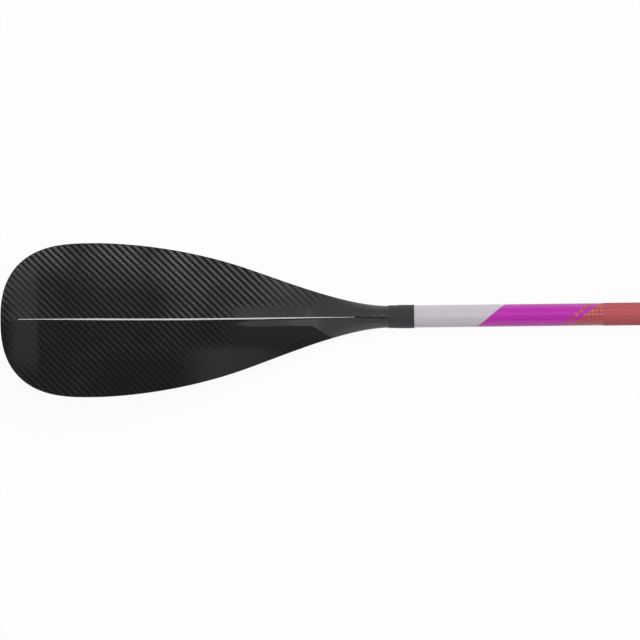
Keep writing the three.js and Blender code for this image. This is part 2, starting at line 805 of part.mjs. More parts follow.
const finish = (color, roughness, metalness = 0) =>
  new THREE.MeshStandardMaterial({ color, roughness, metalness });

const carbonTwill = finish(0x1c1b1e, 0.3);
const foam = finish(0xd9d2c0, 0.9);
const rimPlastic = finish(0x2a292c, 0.45);
const bareAlloy = finish(0xb9bcc0, 0.35, 1);
const shrinkTube = finish(0x3d3b3e, 0.55);
const paintedCarbon = finish(0xb03aae, 0.35);
const coralFilm = finish(0xbd5f64, 0.6);
const darkCarbon = finish(0x222124, 0.3);
const blackNylon = finish(0x1f1f21, 0.55);
const paleAcetal = finish(0xdfe0e2, 0.4);
const blackSteel = finish(0x2b2c2f, 0.4, 1);
const steel = finish(0xa9abae, 0.3, 1);
const rubber = finish(0x161617, 0.85);

function piece(name, geometry, material) {
  const mesh = new THREE.Mesh(geometry, material);
  mesh.name = name;
  return mesh;
}

function group(x, y, z, ...children) {
  const made = new THREE.Group();
  made.position.set(x, y, z);
  made.add(...children);
  return made;
}

// Assembly

const blade = group(
  0, 0, 0,
  piece("blade_back_skin", slab(backGrids.outer, backGrids.inner), carbonTwill),
  piece("blade_power_skin", slab(powerGrids.outer, powerGrids.inner), carbonTwill),
  piece("blade_foam_core", core(), foam),
  piece("blade_edge_rail", edgeRail(), rimPlastic),
);

const shaft = group(
  0, 0, 0,
  piece("neck_ferrule", ferrule(), bareAlloy),
  piece("neck_shrink_sleeve", shrinkSleeve(), shrinkTube),
  piece("main_shaft", mainShaft(), paintedCarbon),
  piece("anti_slip_film", antiSlipFilm(), coralFilm),
  piece("shaft_foam_bung", shaftBung(), foam),
);

const washerFace = earFace + bondGap;
const clamp = group(
  clampAt, 0, 0,
  piece("clamp_collar", clampCollar(), blackNylon),
  piece("clamp_liner", clampLiner(), paleAcetal),
  piece("clamp_bolt", clampBolt(), blackSteel),
  piece("bolt_washer", washer(washerFace, washerThickness, washerDiameter), steel),
  piece("cam_washer", washer(-washerFace - camWasherThickness, camWasherThickness, camWasherDiameter), paleAcetal),
  group(
    0, pivotAt, boltHeight,
    piece("lever_barrel_nut", barrelNut(), steel),
    piece("clamp_lever", camLever(), blackNylon),
  ),
);

const handle = group(
  gripStart, 0, 0,
  piece("handle_tube", handleTube(), darkCarbon),
  piece("handle_tube_plug", tubePlug(), paleAcetal),
  piece("plug_o_ring", plugRing(), rubber),
  piece("grip_insert", gripInsert(), blackNylon),
  piece("grip_back_shell", gripShell(1), blackNylon),
  piece("grip_palm_shell", gripShell(-1), blackNylon),
);

const paddle = group(0, 0, 0, blade, shaft, clamp, handle);
const extent = new THREE.Box3().setFromObject(paddle);
paddle.position.set(-(extent.min.x + extent.max.x) / 2, -(extent.min.y + extent.max.y) / 2, -extent.min.z);

export default paddle;
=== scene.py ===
"""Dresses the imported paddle: fine surfaces, carbon cloth, paint, a clamp, a grip and a pale studio.

Metres throughout. +X runs along the shaft from the blade's tip, +Y across the blade and +Z out of
its back face, as in the frame.
"""

import math
from contextlib import contextmanager
from functools import lru_cache

import bmesh
import bpy
from bpy.props import FloatProperty, FloatVectorProperty, IntProperty, PointerProperty
from mathutils import Matrix, Vector


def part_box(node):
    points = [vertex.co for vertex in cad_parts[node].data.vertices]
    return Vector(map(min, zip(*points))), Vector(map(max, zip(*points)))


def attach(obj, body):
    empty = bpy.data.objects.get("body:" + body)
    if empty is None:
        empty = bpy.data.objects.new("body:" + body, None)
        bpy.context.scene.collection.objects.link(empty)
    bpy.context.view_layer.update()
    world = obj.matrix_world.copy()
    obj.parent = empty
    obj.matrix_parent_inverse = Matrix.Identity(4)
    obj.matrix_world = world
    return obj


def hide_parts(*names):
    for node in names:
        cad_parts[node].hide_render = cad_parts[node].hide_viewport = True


bl_info = {
    "name": "Paddleboard paddle",
    "version": (1, 0, 0),
    "blender": (4, 5, 0),
    "location": "3D View > Sidebar > Paddle",
    "description": "Surfaces, materials and studio for an adjustable paddle",
    "category": "Object",
}

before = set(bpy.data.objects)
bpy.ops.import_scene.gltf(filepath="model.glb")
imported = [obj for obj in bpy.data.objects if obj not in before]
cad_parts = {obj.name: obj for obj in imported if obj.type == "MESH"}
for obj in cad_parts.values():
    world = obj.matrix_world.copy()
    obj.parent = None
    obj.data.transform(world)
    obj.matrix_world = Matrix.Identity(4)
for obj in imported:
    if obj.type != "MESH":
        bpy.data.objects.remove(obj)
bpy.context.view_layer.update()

MM = 0.001
CM = 10 * MM
BLADE_BODY, LEVER_BODY, HANDLE_BODY = "blade_and_shaft", "lever", "handle"

TIP_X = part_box("blade_edge_rail")[0][0]
SHAFT_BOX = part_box("main_shaft")
AXIS_Z = (SHAFT_BOX[0][2] + SHAFT_BOX[1][2]) / 2
SHAFT_RADIUS = (SHAFT_BOX[1][2] - SHAFT_BOX[0][2]) / 2
GRIP_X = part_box("grip_back_shell")[0][0]
COLLAR_RIM_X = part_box("clamp_collar")[1][0]


# Numbers and curves

CURVE_HALVINGS = 36


def lerp(low, high, share):
    return low + (high - low) * share


def smoothstep(value, low, high):
    share = min(max((value - low) / (high - low), 0.0), 1.0)
    return share * share * (3 - 2 * share)


@lru_cache(maxsize=None)
def curve_at(chain, x):
    """The height at x of a chain of cubic curves, each four (x, height) handles."""
    part = next((handles for handles in chain if x <= handles[3][0]), chain[-1])

    def cubic(k, t):
        a, b, c, d = (handle[k] for handle in part)
        return (1 - t) ** 3 * a + 3 * (1 - t) ** 2 * t * b + 3 * (1 - t) * t * t * c + t**3 * d

    low, high = 0.0, 1.0
    for _ in range(CURVE_HALVINGS):
        middle = (low + high) / 2
        if cubic(0, middle) < x:
            low = middle
        else:
            high = middle
    return cubic(1, low)


def linear_rgb(hex_colour):
    """An sRGB hex value as linear red, green, blue and alpha."""
    channels = [int(hex_colour[i : i + 2], 16) / 255 for i in (1, 3, 5)]
    return [c / 12.92 if c <= 0.04045 else ((c + 0.055) / 1.055) ** 2.4 for c in channels] + [1.0]


# Settings


def length(name, description, default):
    return FloatProperty(
        name=name, description=description, default=default, min=0.0, unit="LENGTH", precision=5
    )


def colour(name, description, hex_colour):
    return FloatVectorProperty(
        name=name, description=description, default=linear_rgb(hex_colour), size=4, min=0.0, max=1.0,
        subtype="COLOR",
    )


class PaddleBladeSettings(bpy.types.PropertyGroup):
    long: length("Length", "From the tip to the shrink sleeve", 0.4534)
    wide: length("Width", "Across the blade at its widest", 0.1802)
    neck: length("Neck", "Diameter of the neck", 0.0258)
    neck_lap: length("Neck lap", "Neck that the sleeve hides", 0.0112)
    rise: length("Tip rise", "Height of the tip over the shaft", 0.062)
    straight: length("Straight neck", "Neck in line with the shaft, before the sleeve", 0.028)
    cup: length("Cup", "How far the rims stand below the middle", 0.003)
    rim: length("Rim", "Thickness at the rim", 0.0032)
    skin: length("Skin", "Thickness of a moulded skin", 0.00095)
    back_crown: length("Back crown", "Height of the back face where the spine starts", 0.006)
    power_crown: length("Power crown", "Height of the power face there", 0.0025)
    spine: length("Spine", "Width of the raised spine", 0.0188)
    lip: length("Bead lip", "How far the edge bead stands out", 0.0006)
    tow: length("Tow", "Width of one carbon tow", 0.00215)
    pinline: length("Pinline", "Width of the painted line", 0.002)
    pinline_start: length("Pinline start", "From the tip", 0.021)
    pinline_end: length("Pinline end", "From the tip", 0.417)
    # The pale tow colour is a painted glint: the tows that run along the blade as they catch the light
    cloth_light: colour("Light tows", "Tows that run along the blade", "#9C9A9F")
    cloth_dark: colour("Dark tows", "Tows that lie across it", "#1B1A1C")
    # The resin as lit; the blade's painted resin shade mixes it with a shaded copy
    resin: colour("Moulded resin", "The plain spine and neck", "#474448")
    line: colour("Pinline", "Paint of the pinline", "#E8E6E9")


class PaddleShaftSettings(bpy.types.PropertyGroup):
    silver: colour("Silver", "Paint next to the blade", "#D3CCD4")
    magenta: colour("Magenta", "Paint of the middle", "#C630B5")
    coral: colour("Coral", "Paint of the upper shaft", "#BA4F58")
    # The painted glint of the carbon under the thin coral coat
    fleck: colour("Fleck", "Carbon that glints through the coral", "#F2A29A")
    film: colour("Film", "Anti-slip film", "#BE5C63")
    silver_end: length("Silver end", "From the tip, on the shaft's middle line", 0.5729)
    stripe_start: length("Stripe start", "From the tip", 0.6711)
    stripe_end: length("Stripe end", "From the tip", 0.6764)
    magenta_end: length("Magenta end", "From the tip", 0.683)
    lead: length("Lead", "How far a border moves along in half a turn", 0.0385)
    tow: length("Tow", "Width of one carbon tow", 0.00121)


class PaddleHandleSettings(bpy.types.PropertyGroup):
    tube: colour("Tube", "Carbon of the telescoping tube", "#1C1B1E")
    print_ink: colour("Print", "Ink of the length marks", "#D6D5D8")
    nylon: colour("Nylon", "Clamp and lever", "#29282B")
    grip: colour("Grip", "Soft moulding of the palm grip", "#262527")
    first_mark: IntProperty(name="First mark", description="Shortest length, in cm", default=170)
    last_mark: IntProperty(name="Last mark", description="Longest length, in cm", default=210)
    rest_mark: IntProperty(name="Rest mark", description="Length as it lies, in cm", default=180)


class PaddleStudioSettings(bpy.types.PropertyGroup):
    floor: colour("Floor", "Pale floor", "#FAFAFA")
    span: length("Span", "Width of what the camera sees", 0.7488)
    distance: length("Distance", "Height of the camera over the shaft", 30.0)
    aim_x: FloatProperty(name="Aim X", description="Where it looks", default=-0.52672, unit="LENGTH")
    aim_y: FloatProperty(name="Aim Y", description="Where it looks", default=-0.00287, unit="LENGTH")
    roll: FloatProperty(name="Roll", description="Turn of the camera", default=-0.0116, subtype="ANGLE")


# Nodes and materials


def put(tree, kind, inputs=(), output=0, **settings):
    """Adds a node. inputs, in order or by socket, are values or the sockets that feed it. Returns
    one of its outputs, or the node itself where output is None."""
    node = tree.nodes.new(kind)
    for name, value in settings.items():
        setattr(node, name, value)
    for socket, value in inputs.items() if isinstance(inputs, dict) else enumerate(inputs):
        if isinstance(value, bpy.types.NodeSocket):
            tree.links.new(value, node.inputs[socket])
        else:
            node.inputs[socket].default_value = value
    return node if output is None else node.outputs[output]


def new_material(name, shader_inputs):
    """A material with one Principled shader. Returns it, its tree and the shader."""
    made = bpy.data.materials.new(name)
    made.use_nodes = True
    tree = made.node_tree
    tree.nodes.clear()
    shader = put(tree, "ShaderNodeBsdfPrincipled", shader_inputs, output=None)
    put(tree, "ShaderNodeOutputMaterial", {"Surface": shader.outputs[0]}, output=None)
    made.diffuse_color = shader.inputs["Base Color"].default_value
    return made, tree, shader


def feed_shader(tree, shader, shown, height, depth, strength):
    """Gives a shader its colour, and bumps: a height of 1 stands out by the depth."""
    normal = put(tree, "ShaderNodeBump", {"Height": height, "Distance": depth, "Strength": strength})
    tree.links.new(shown, shader.inputs["Base Color"])
    tree.links.new(normal, shader.inputs["Normal"])


def place_about_axis(tree):
    """Object coordinates about the shaft's axis, and their parts: along, across and up."""
    coordinates = put(tree, "ShaderNodeTexCoord", output="Object")
    centred = put(tree, "ShaderNodeMapping", {"Vector": coordinates, "Location": (-TIP_X, 0.0, -AXIS_Z)})
    parts = put(tree, "ShaderNodeSeparateXYZ", (centred,), output=None).outputs
    return centred, parts


def place_round_axis(tree, parts, radius):
    """The way round the shaft's axis, in metres on a tube of this radius."""
    angle = put(tree, "ShaderNodeMath", (parts[1], parts[2]), operation="ARCTAN2")
    return put(tree, "ShaderNodeMath", (angle, radius), operation="MULTIPLY")


def twill(tree, along, across, tow):
    """Two-by-two twill: 1 where the tow that runs along lies on top, and the top tow's round height."""
    steps = [put(tree, "ShaderNodeMath", (place, tow), operation="DIVIDE") for place in (along, across)]
    cells = [put(tree, "ShaderNodeMath", (step,), operation="FLOOR") for step in steps]
    sum_of_cells = put(tree, "ShaderNodeMath", cells, operation="ADD")
    # The weave repeats every four cells, and in two of them the tow that runs along is on top
    turn = put(tree, "ShaderNodeMath", (sum_of_cells, 4.0), operation="FLOORED_MODULO")
    on_top = put(tree, "ShaderNodeMath", (turn, 1.5), operation="LESS_THAN")
    rounds = []
    for step in steps:
        share = put(tree, "ShaderNodeMath", (step,), operation="FRACT")
        half_turn = put(tree, "ShaderNodeMath", (share, math.pi), operation="MULTIPLY")
        rounds.append(put(tree, "ShaderNodeMath", (half_turn,), operation="SINE"))
    height = put(tree, "ShaderNodeMix", {0: on_top, 2: rounds[0], 3: rounds[1]})
    return on_top, height


# Sizes of the grains in the patterns that noise draws
STRAND_GRAIN, CLOTH_DRIFT, MOULD_DRIFT, LATHE_LINE = 10 / 9 * MM, 62.5 * MM, 100 / 3 * MM, 0.12 * MM
# The paint's and the film's glint patches break up their painted glint
PAINT_GLINT_PATCH, PAINT_CLOUD, FILM_GLINT_PATCH, FILM_GRIT = 6.25 * MM, 200 / 9 * MM, 5 * MM, 2 / 3 * MM
# The settings of a mix node that blends colours
MIX_COLOURS = {"output": 2, "data_type": "RGBA"}


def grain(tree, vector, size, finer=(1.0, 1.0, 1.0), detail=2.0):
    """Noise in grains of a size, made this many times finer along each axis."""
    mapped = put(tree, "ShaderNodeMapping", {"Vector": vector, "Scale": finer})
    return put(
        tree, "ShaderNodeTexNoise", {"Vector": mapped, "Scale": 1.0 / size, "Detail": detail}, output="Fac"
    )


def patches(tree, vector, size, gain, base, finer=(1.0, 1.0, 1.0)):
    """Grains whose noise is multiplied by a gain and added to a base."""
    noise = grain(tree, vector, size, finer)
    return put(tree, "ShaderNodeMath", (noise, gain, base), operation="MULTIPLY_ADD")


# What the skins carry at each point: how much cloth shows, the strength of its painted glint, the resin's
# painted light and shade, a paler haze and painted reflection, and how narrow the painted glints are
CLOTH_ATTRIBUTES = ("cloth", "sheen", "tone", "haze", "narrow")
# The resin in painted shade, the colour of the haze and painted reflection, and the tube's painted tow glint
SHADED_RESIN, HAZE_AND_REFLECTION, TUBE_TOW_GLINT = "#1F1D20", "#3E3B3E", "#3C3A3E"


def carbon_cloth(blade):
    """Epoxy over two-by-two carbon twill: the tows that run along the blade carry a painted glint, those
    across it stay black, and the moulded spine and neck are plain charcoal with painted light and shade."""
    made, tree, shader = new_material(
        "carbon_twill_under_epoxy",
        {"Roughness": 0.35, "IOR": 1.55, "Specular IOR Level": 0.22, "Coat Weight": 0.2,
         "Coat Roughness": 0.12},
    )
    centred, parts = place_about_axis(tree)
    on_top, height = twill(tree, parts[0], parts[1], blade.tow)
    cloth, sheen, tone, haze, narrow = (
        put(tree, "ShaderNodeAttribute", attribute_name=name, output="Fac") for name in CLOTH_ATTRIBUTES
    )
    crest = put(tree, "ShaderNodeMapRange", {0: height, 1: narrow, 2: 1.0})
    # Single filaments are too fine to show, so the streaks on a tow are strands of many of them
    strands = patches(tree, centred, STRAND_GRAIN, 1.3, 0.1, (0.25, 4.0, 1.0))
    drift = patches(tree, centred, CLOTH_DRIFT, 2.0, -0.2)
    # Painted glint: where a tow that runs along is on top, its crest takes the pale glint colour, broken by
    # strands and patches and scaled by the painted sheen
    lit = put(tree, "ShaderNodeMath", (on_top, crest), operation="MULTIPLY")
    for factor in (strands, drift, sheen):
        lit = put(tree, "ShaderNodeMath", (lit, factor), operation="MULTIPLY")
    woven = put(
        tree, "ShaderNodeMix", {0: lit, 6: list(blade.cloth_dark), 7: list(blade.cloth_light)}, **MIX_COLOURS
    )
    # A paler haze near the tip, and a painted reflection low on the blade
    with_haze_and_reflection = put(tree, "ShaderNodeMix", {0: haze, 6: woven, 7: linear_rgb(HAZE_AND_REFLECTION)}, **MIX_COLOURS)
    # Painted light and shade on the plain resin: a shaded copy and the lit colour, mixed by the painted resin
    # shade
    resin = put(
        tree, "ShaderNodeMix", {0: tone, 6: linear_rgb(SHADED_RESIN), 7: list(blade.resin)}, **MIX_COLOURS
    )
    shown = put(tree, "ShaderNodeMix", {0: cloth, 6: resin, 7: with_haze_and_reflection}, **MIX_COLOURS)
    raised = put(tree, "ShaderNodeMath", (height, cloth), operation="MULTIPLY")
    feed_shader(tree, shader, shown, raised, 0.04 * MM, 0.5)
    return made


def moulded(name, base, rough, grit=0.4 * MM, depth=0.02 * MM, **more):
    """A plastic, rubber, foam, resin, paint or ink: its colour drifts a little over a fine grain."""
    made, tree, shader = new_material(name, {"Base Color": base, "Roughness": rough, **more})
    coordinates = put(tree, "ShaderNodeTexCoord", output="Object")
    drift = grain(tree, coordinates, MOULD_DRIFT)
    darker = [channel * 0.85 for channel in base[:3]] + [1.0]
    shown = put(tree, "ShaderNodeMix", {0: drift, 6: darker, 7: list(base)}, **MIX_COLOURS)
    feed_shader(tree, shader, shown, grain(tree, coordinates, grit, detail=3.0), depth, 0.6)
    return made


def turned_metal(name, hex_colour, rough):
    """Bare or blackened metal with fine lines across the shaft, as a lathe leaves on the ferrule."""
    made, tree, shader = new_material(
        name, {"Base Color": linear_rgb(hex_colour), "Metallic": 1.0, "Roughness": rough}
    )
    coordinates = put(tree, "ShaderNodeTexCoord", output="Object")
    lines = grain(tree, coordinates, LATHE_LINE, (1.0, 0.08, 0.08))
    duller = put(tree, "ShaderNodeMath", (lines, 0.16, rough - 0.08), operation="MULTIPLY_ADD")
    tree.links.new(duller, shader.inputs["Roughness"])
    normal = put(tree, "ShaderNodeBump", {"Height": lines, "Distance": 0.004 * MM, "Strength": 0.5})
    tree.links.new(normal, shader.inputs["Normal"])
    return made


def shaft_weave(tree, parts, tow):
    """The shaft's cloth: its height, and where a glint is painted on it. Every other pair of tows takes
    the painted glint, most on a strip a little off the shaft's middle, where the light catches it."""
    around = put(tree, "ShaderNodeMath", (place_round_axis(tree, parts, SHAFT_RADIUS), tow), operation="ADD")
    on_top, height = twill(tree, parts[0], around, tow)
    pairs = put(tree, "ShaderNodeMath", (around, 2 * tow), operation="DIVIDE")
    odd = put(tree, "ShaderNodeMath", (pairs, 2.0), operation="FLOORED_MODULO")
    kept = put(tree, "ShaderNodeMath", (odd, 1.0), operation="LESS_THAN")
    # The painted glint's strip: its middle is a fifth of the radius off the shaft's, and it fades to both
    # sides
    side = put(tree, "ShaderNodeMath", (parts[1], 1 / SHAFT_RADIUS, -0.2), operation="MULTIPLY_ADD")
    near = put(tree, "ShaderNodeMath", (side,), operation="ABSOLUTE")
    glint = put(tree, "ShaderNodeMapRange", {0: near, 1: 0.22, 2: 0.6, 3: 1.0, 4: 0.08})
    for factor in (on_top, height, kept):
        glint = put(tree, "ShaderNodeMath", (glint, factor), operation="MULTIPLY")
    return height, glint


def shaft_paint(shaft):
    """Wet paint on carbon under clear lacquer: three fields whose borders wind round the shaft. The
    coral coat is thin, and the cloth under it shows through as a painted glint."""
    made, tree, shader = new_material(
        "lacquered_shaft_paint",
        {"Roughness": 0.42, "IOR": 1.5, "Specular IOR Level": 0.4, "Coat Weight": 0.4, "Coat Roughness": 0.2},
    )
    centred, parts = place_about_axis(tree)
    # A hair over the radius, because the arcsine takes nothing above 1
    side = put(tree, "ShaderNodeMath", (parts[1], SHAFT_RADIUS * 1.001), operation="DIVIDE")
    turn = put(tree, "ShaderNodeMath", (side,), operation="ARCSINE")
    wound = put(tree, "ShaderNodeMath", (turn, shaft.lead / (2 * math.pi)), operation="MULTIPLY")
    shift = put(tree, "ShaderNodeMath", (side, shaft.lead / 4, wound), operation="MULTIPLY_ADD")
    along = put(tree, "ShaderNodeMath", (parts[0], shift), operation="SUBTRACT")
    shown = list(shaft.silver)
    past = {}
    for border, after in (
        ("silver_end", shaft.magenta), ("stripe_start", shaft.coral), ("stripe_end", shaft.magenta),
        ("magenta_end", shaft.coral),
    ):
        past[border] = put(
            tree, "ShaderNodeMath", (along, getattr(shaft, border)), operation="GREATER_THAN"
        )
        shown = put(
            tree, "ShaderNodeMix", {0: past[border], 6: shown, 7: list(after)}, **MIX_COLOURS
        )
    stripe = put(tree, "ShaderNodeMath", (past["stripe_start"], past["stripe_end"]), operation="SUBTRACT")
    thin = put(tree, "ShaderNodeMath", (stripe, past["magenta_end"]), operation="ADD")
    height, glint = shaft_weave(tree, parts, shaft.tow)
    # Painted glint: the cloth's glint shows only in the coral, broken into patches
    for factor in (thin, patches(tree, centred, PAINT_GLINT_PATCH, 2.6, -0.4)):
        glint = put(tree, "ShaderNodeMath", (glint, factor), operation="MULTIPLY")
    shown = put(
        tree, "ShaderNodeMix", {0: glint, 6: shown, 7: list(shaft.fleck)}, **MIX_COLOURS
    )
    cloudy = patches(tree, centred, PAINT_CLOUD, 0.1, 0.95)
    shown = put(tree, "ShaderNodeHueSaturation", {"Value": cloudy, "Color": shown})
    feed_shader(tree, shader, shown, height, 0.01 * MM, 0.3)
    return made


def anti_slip(shaft):
    """Anti-slip film: a matt coral skin with a fine raised lattice, and a painted glint in patches on its
    tops.
    """
    made, tree, shader = new_material(
        "anti_slip_film", {"Roughness": 0.65, "IOR": 1.48, "Specular IOR Level": 0.3}
    )
    centred, parts = place_about_axis(tree)
    height, glint = shaft_weave(tree, parts, shaft.tow)
    # Painted glint: the lattice's tops on the lit strip are paler, in patches
    glint_patches = patches(tree, centred, FILM_GLINT_PATCH, 2.0, -0.3)
    share = put(tree, "ShaderNodeMath", (glint, glint_patches), operation="MULTIPLY")
    film_glint = [min(1.0, channel * 1.5) for channel in shaft.film[:3]] + [1.0]
    shown = put(tree, "ShaderNodeMix", {0: share, 6: list(shaft.film), 7: film_glint}, **MIX_COLOURS)
    grit = grain(tree, centred, FILM_GRIT, detail=3.0)
    rough = put(tree, "ShaderNodeMath", (height, grit), operation="ADD")
    feed_shader(tree, shader, shown, rough, 0.08 * MM, 0.7)
    return made


def carbon_tube(handle, blade):
    """Epoxy over a woven carbon tube: blacker than the blade, with finer tows that carry a soft painted
    glint.
    """
    made, tree, shader = new_material(
        "carbon_tube_under_epoxy",
        {"Roughness": 0.3, "IOR": 1.55, "Specular IOR Level": 0.4, "Coat Weight": 0.4, "Coat Roughness": 0.1},
    )
    _, parts = place_about_axis(tree)
    radius = from_tip("handle_tube")[2]
    on_top, height = twill(tree, parts[0], place_round_axis(tree, parts, radius), blade.tow * 0.8)
    # Painted glint on the tows that lie on top
    share = put(tree, "ShaderNodeMath", (on_top, height), operation="MULTIPLY")
    shown = put(
        tree, "ShaderNodeMix", {0: share, 6: list(handle.tube), 7: linear_rgb(TUBE_TOW_GLINT)}, **MIX_COLOURS
    )
    feed_shader(tree, shader, shown, height, 0.02 * MM, 0.4)
    return made


# Meshes

# Points closer than this are one point: in meshes made here, and in those from the frame
SAME_POINT, SAME_CAD_POINT = 1e-7, 1e-6
LATHE_SEGMENTS = 96


def finish_mesh(obj, body, material, replaces=(), sharp_degrees=32):
    """Gives a finished mesh its material, its body and the CAD nodes that it stands for."""
    mesh = obj.data
    mesh.materials.clear()
    mesh.materials.append(material)
    mesh.polygons.foreach_set("use_smooth", [True] * len(mesh.polygons))
    mesh.set_sharp_from_angle(angle=math.radians(sharp_degrees))
    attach(obj, body)
    if replaces:
        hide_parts(*replaces)
    return obj


@contextmanager
def editing(mesh):
    """A mesh opened for work, and written back at the end."""
    work = bmesh.new()
    work.from_mesh(mesh)
    yield work
    work.to_mesh(mesh)
    work.free()


def link_object(name, data):
    obj = bpy.data.objects.new(name, data)
    bpy.context.scene.collection.objects.link(obj)
    return obj


def mesh_object(name, points, faces):
    mesh = bpy.data.meshes.new(name)
    mesh.from_pydata([tuple(point) for point in points], [], faces)
    with editing(mesh) as work:
        bmesh.ops.remove_doubles(work, verts=work.verts, dist=SAME_POINT)
        bmesh.ops.dissolve_degenerate(work, edges=work.edges, dist=SAME_POINT)
        bmesh.ops.recalc_face_normals(work, faces=work.faces)
    return link_object(name, mesh)


def sweep(name, rings, closed_path=False):
    """Closed rings of points joined end to end, and capped unless the path closes."""
    count = len(rings[0])
    points = [point for ring in rings for point in ring]
    faces = []
    spans = len(rings) if closed_path else len(rings) - 1
    for i in range(spans):
        low, high = i * count, ((i + 1) % len(rings)) * count
        for j in range(count):
            following = (j + 1) % count
            faces.append((low + j, low + following, high + following, high + j))
    if not closed_path:
        faces.append(tuple(range(count)))
        faces.append(tuple(range((len(rings) - 1) * count, len(rings) * count)))
    return mesh_object(name, points, faces)


def slab(name, top, bottom):
    """The closed solid between two grids of points that are laid out alike."""
    rows, columns = len(top), len(top[0])
    points = [point for grid in (top, bottom) for row in grid for point in row]

    def at(layer, i, j):
        return layer * rows * columns + i * columns + j

    faces = []
    for layer in (0, 1):
        for i in range(rows - 1):
            for j in range(columns - 1):
                corners = ((i, j), (i + 1, j), (i + 1, j + 1), (i, j + 1))
                faces.append(tuple(at(layer, a, b) for a, b in corners))
    rim = [(i, 0) for i in range(rows)] + [(rows - 1, j) for j in range(1, columns)]
    rim += [(i, columns - 1) for i in range(rows - 2, -1, -1)] + [(0, j) for j in range(columns - 2, 0, -1)]
    for (a, b), (c, d) in zip(rim, rim[1:] + rim[:1]):
        faces.append((at(0, a, b), at(0, c, d), at(1, c, d), at(1, a, b)))
    return mesh_object(name, points, faces)


def eased(outline, ease):
    """A closed outline with each corner cut back, by less than half a side, and rounded by three
    points."""
    made = []
    for i, corner in enumerate(outline):
        here = Vector(corner)
        sides = [Vector(outline[i - 1]) - here, Vector(outline[(i + 1) % len(outline)]) - here]
        cut = min([ease] + [side.length * 0.45 for side in sides])
        start, end = (here + side.normalized() * cut for side in sides)
        middle = (start + end) / 4 + here / 2
        made += [tuple(start), tuple(middle), tuple(end)]
    return made


def facing_out(obj):
    """Merges a mesh's doubles and turns its faces outwards."""
    with editing(obj.data) as work:
        bmesh.ops.remove_doubles(work, verts=work.verts, dist=SAME_POINT)
        bmesh.ops.recalc_face_normals(work, faces=work.faces)
    return obj


def turned(name, outline, ease, material):
    """A piece turned round the shaft's axis from its closed outline of (along, radius)."""
    points = [(radius, -(TIP_X + along), 0.0) for along, radius in eased(outline, ease)]
    profile = path_object(name, points, [1.0] * len(points), cyclic=True)
    return facing_out(grow(
        profile, lathe_tree(), {"Segments": LATHE_SEGMENTS, "Axis Height": AXIS_Z, "Material": material}
    ))


def from_tip(node):
    """A CAD node's ends along the shaft, from the tip, and its outer radius."""
    low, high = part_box(node)
    return low[0] - TIP_X, high[0] - TIP_X, (high[1] - low[1]) / 2


def baked(obj):
    """The object with its modifiers made into a plain mesh."""
    evaluated = obj.evaluated_get(bpy.context.evaluated_depsgraph_get())
    mesh = bpy.data.meshes.new_from_object(evaluated)
    name = obj.name
    made = link_object(name + "_made", mesh)
    bpy.data.objects.remove(obj, do_unlink=True)
    made.name = name
    return made


def dressed(name, node, body, material, bevel):
    """A copy of a CAD node with its loose faces joined and its edges eased."""
    obj = link_object(name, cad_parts[node].data.copy())
    with editing(obj.data) as work:
        bmesh.ops.remove_doubles(work, verts=work.verts, dist=SAME_CAD_POINT)
        bmesh.ops.dissolve_limit(work, angle_limit=math.radians(1), verts=work.verts, edges=work.edges)
    eased_edges = obj.modifiers.new("eased", "BEVEL")
    eased_edges.width, eased_edges.segments = bevel, 2
    eased_edges.limit_method, eased_edges.angle_limit = "ANGLE", math.radians(35)
    return finish_mesh(baked(obj), body, material, (node,))


# Geometry node trees


def geometry_tree(name, inputs):
    """A tree with a geometry input, inputs of the kinds given by name, and a material."""
    tree = bpy.data.node_groups.new(name, "GeometryNodeTree")
    tree.interface.new_socket("Geometry", in_out="INPUT", socket_type="NodeSocketGeometry")
    for label, kind in inputs.items():
        tree.interface.new_socket(label, in_out="INPUT", socket_type=kind)
    tree.interface.new_socket("Material", in_out="INPUT", socket_type="NodeSocketMaterial")
    tree.interface.new_socket("Geometry", in_out="OUTPUT", socket_type="NodeSocketGeometry")
    return tree, put(tree, "NodeGroupInput", output=None).outputs


def close_tree(tree, geometry, material):
    real = put(tree, "GeometryNodeRealizeInstances", (geometry,))
    painted = put(tree, "GeometryNodeSetMaterial", {"Geometry": real, "Material": material})
    put(tree, "NodeGroupOutput", (painted,), output=None)
    return tree


def grow(obj, tree, values):
    """Runs a tree on an object and returns the plain mesh that it makes."""
    modifier = obj.modifiers.new(tree.name, "NODES")
    modifier.node_group = tree
    sockets = {item.name: item.identifier for item in tree.interface.items_tree if item.in_out == "INPUT"}
    for label, value in values.items():
        modifier[sockets[label]] = value
    return baked(obj)


def path_object(name, points, radii, cyclic=False):
    """A curve through points, with a radius at each."""
    curve = bpy.data.curves.new(name, "CURVE")
    curve.dimensions = "3D"
    curve.twist_mode = "Z_UP"
    spline = curve.splines.new("POLY")
    spline.points.add(len(points) - 1)
    for point, place, radius in zip(spline.points, points, radii):
        point.co = (*place, 1.0)
        point.radius = radius
    spline.use_cyclic_u = cyclic
    return link_object(name, curve)


def speck(name):
    """A small mesh to run a tree on that draws all its geometry itself."""
    return mesh_object(name, [(0, 0, 0), (MM, 0, 0), (0, MM, 0)], [(0, 1, 2)])


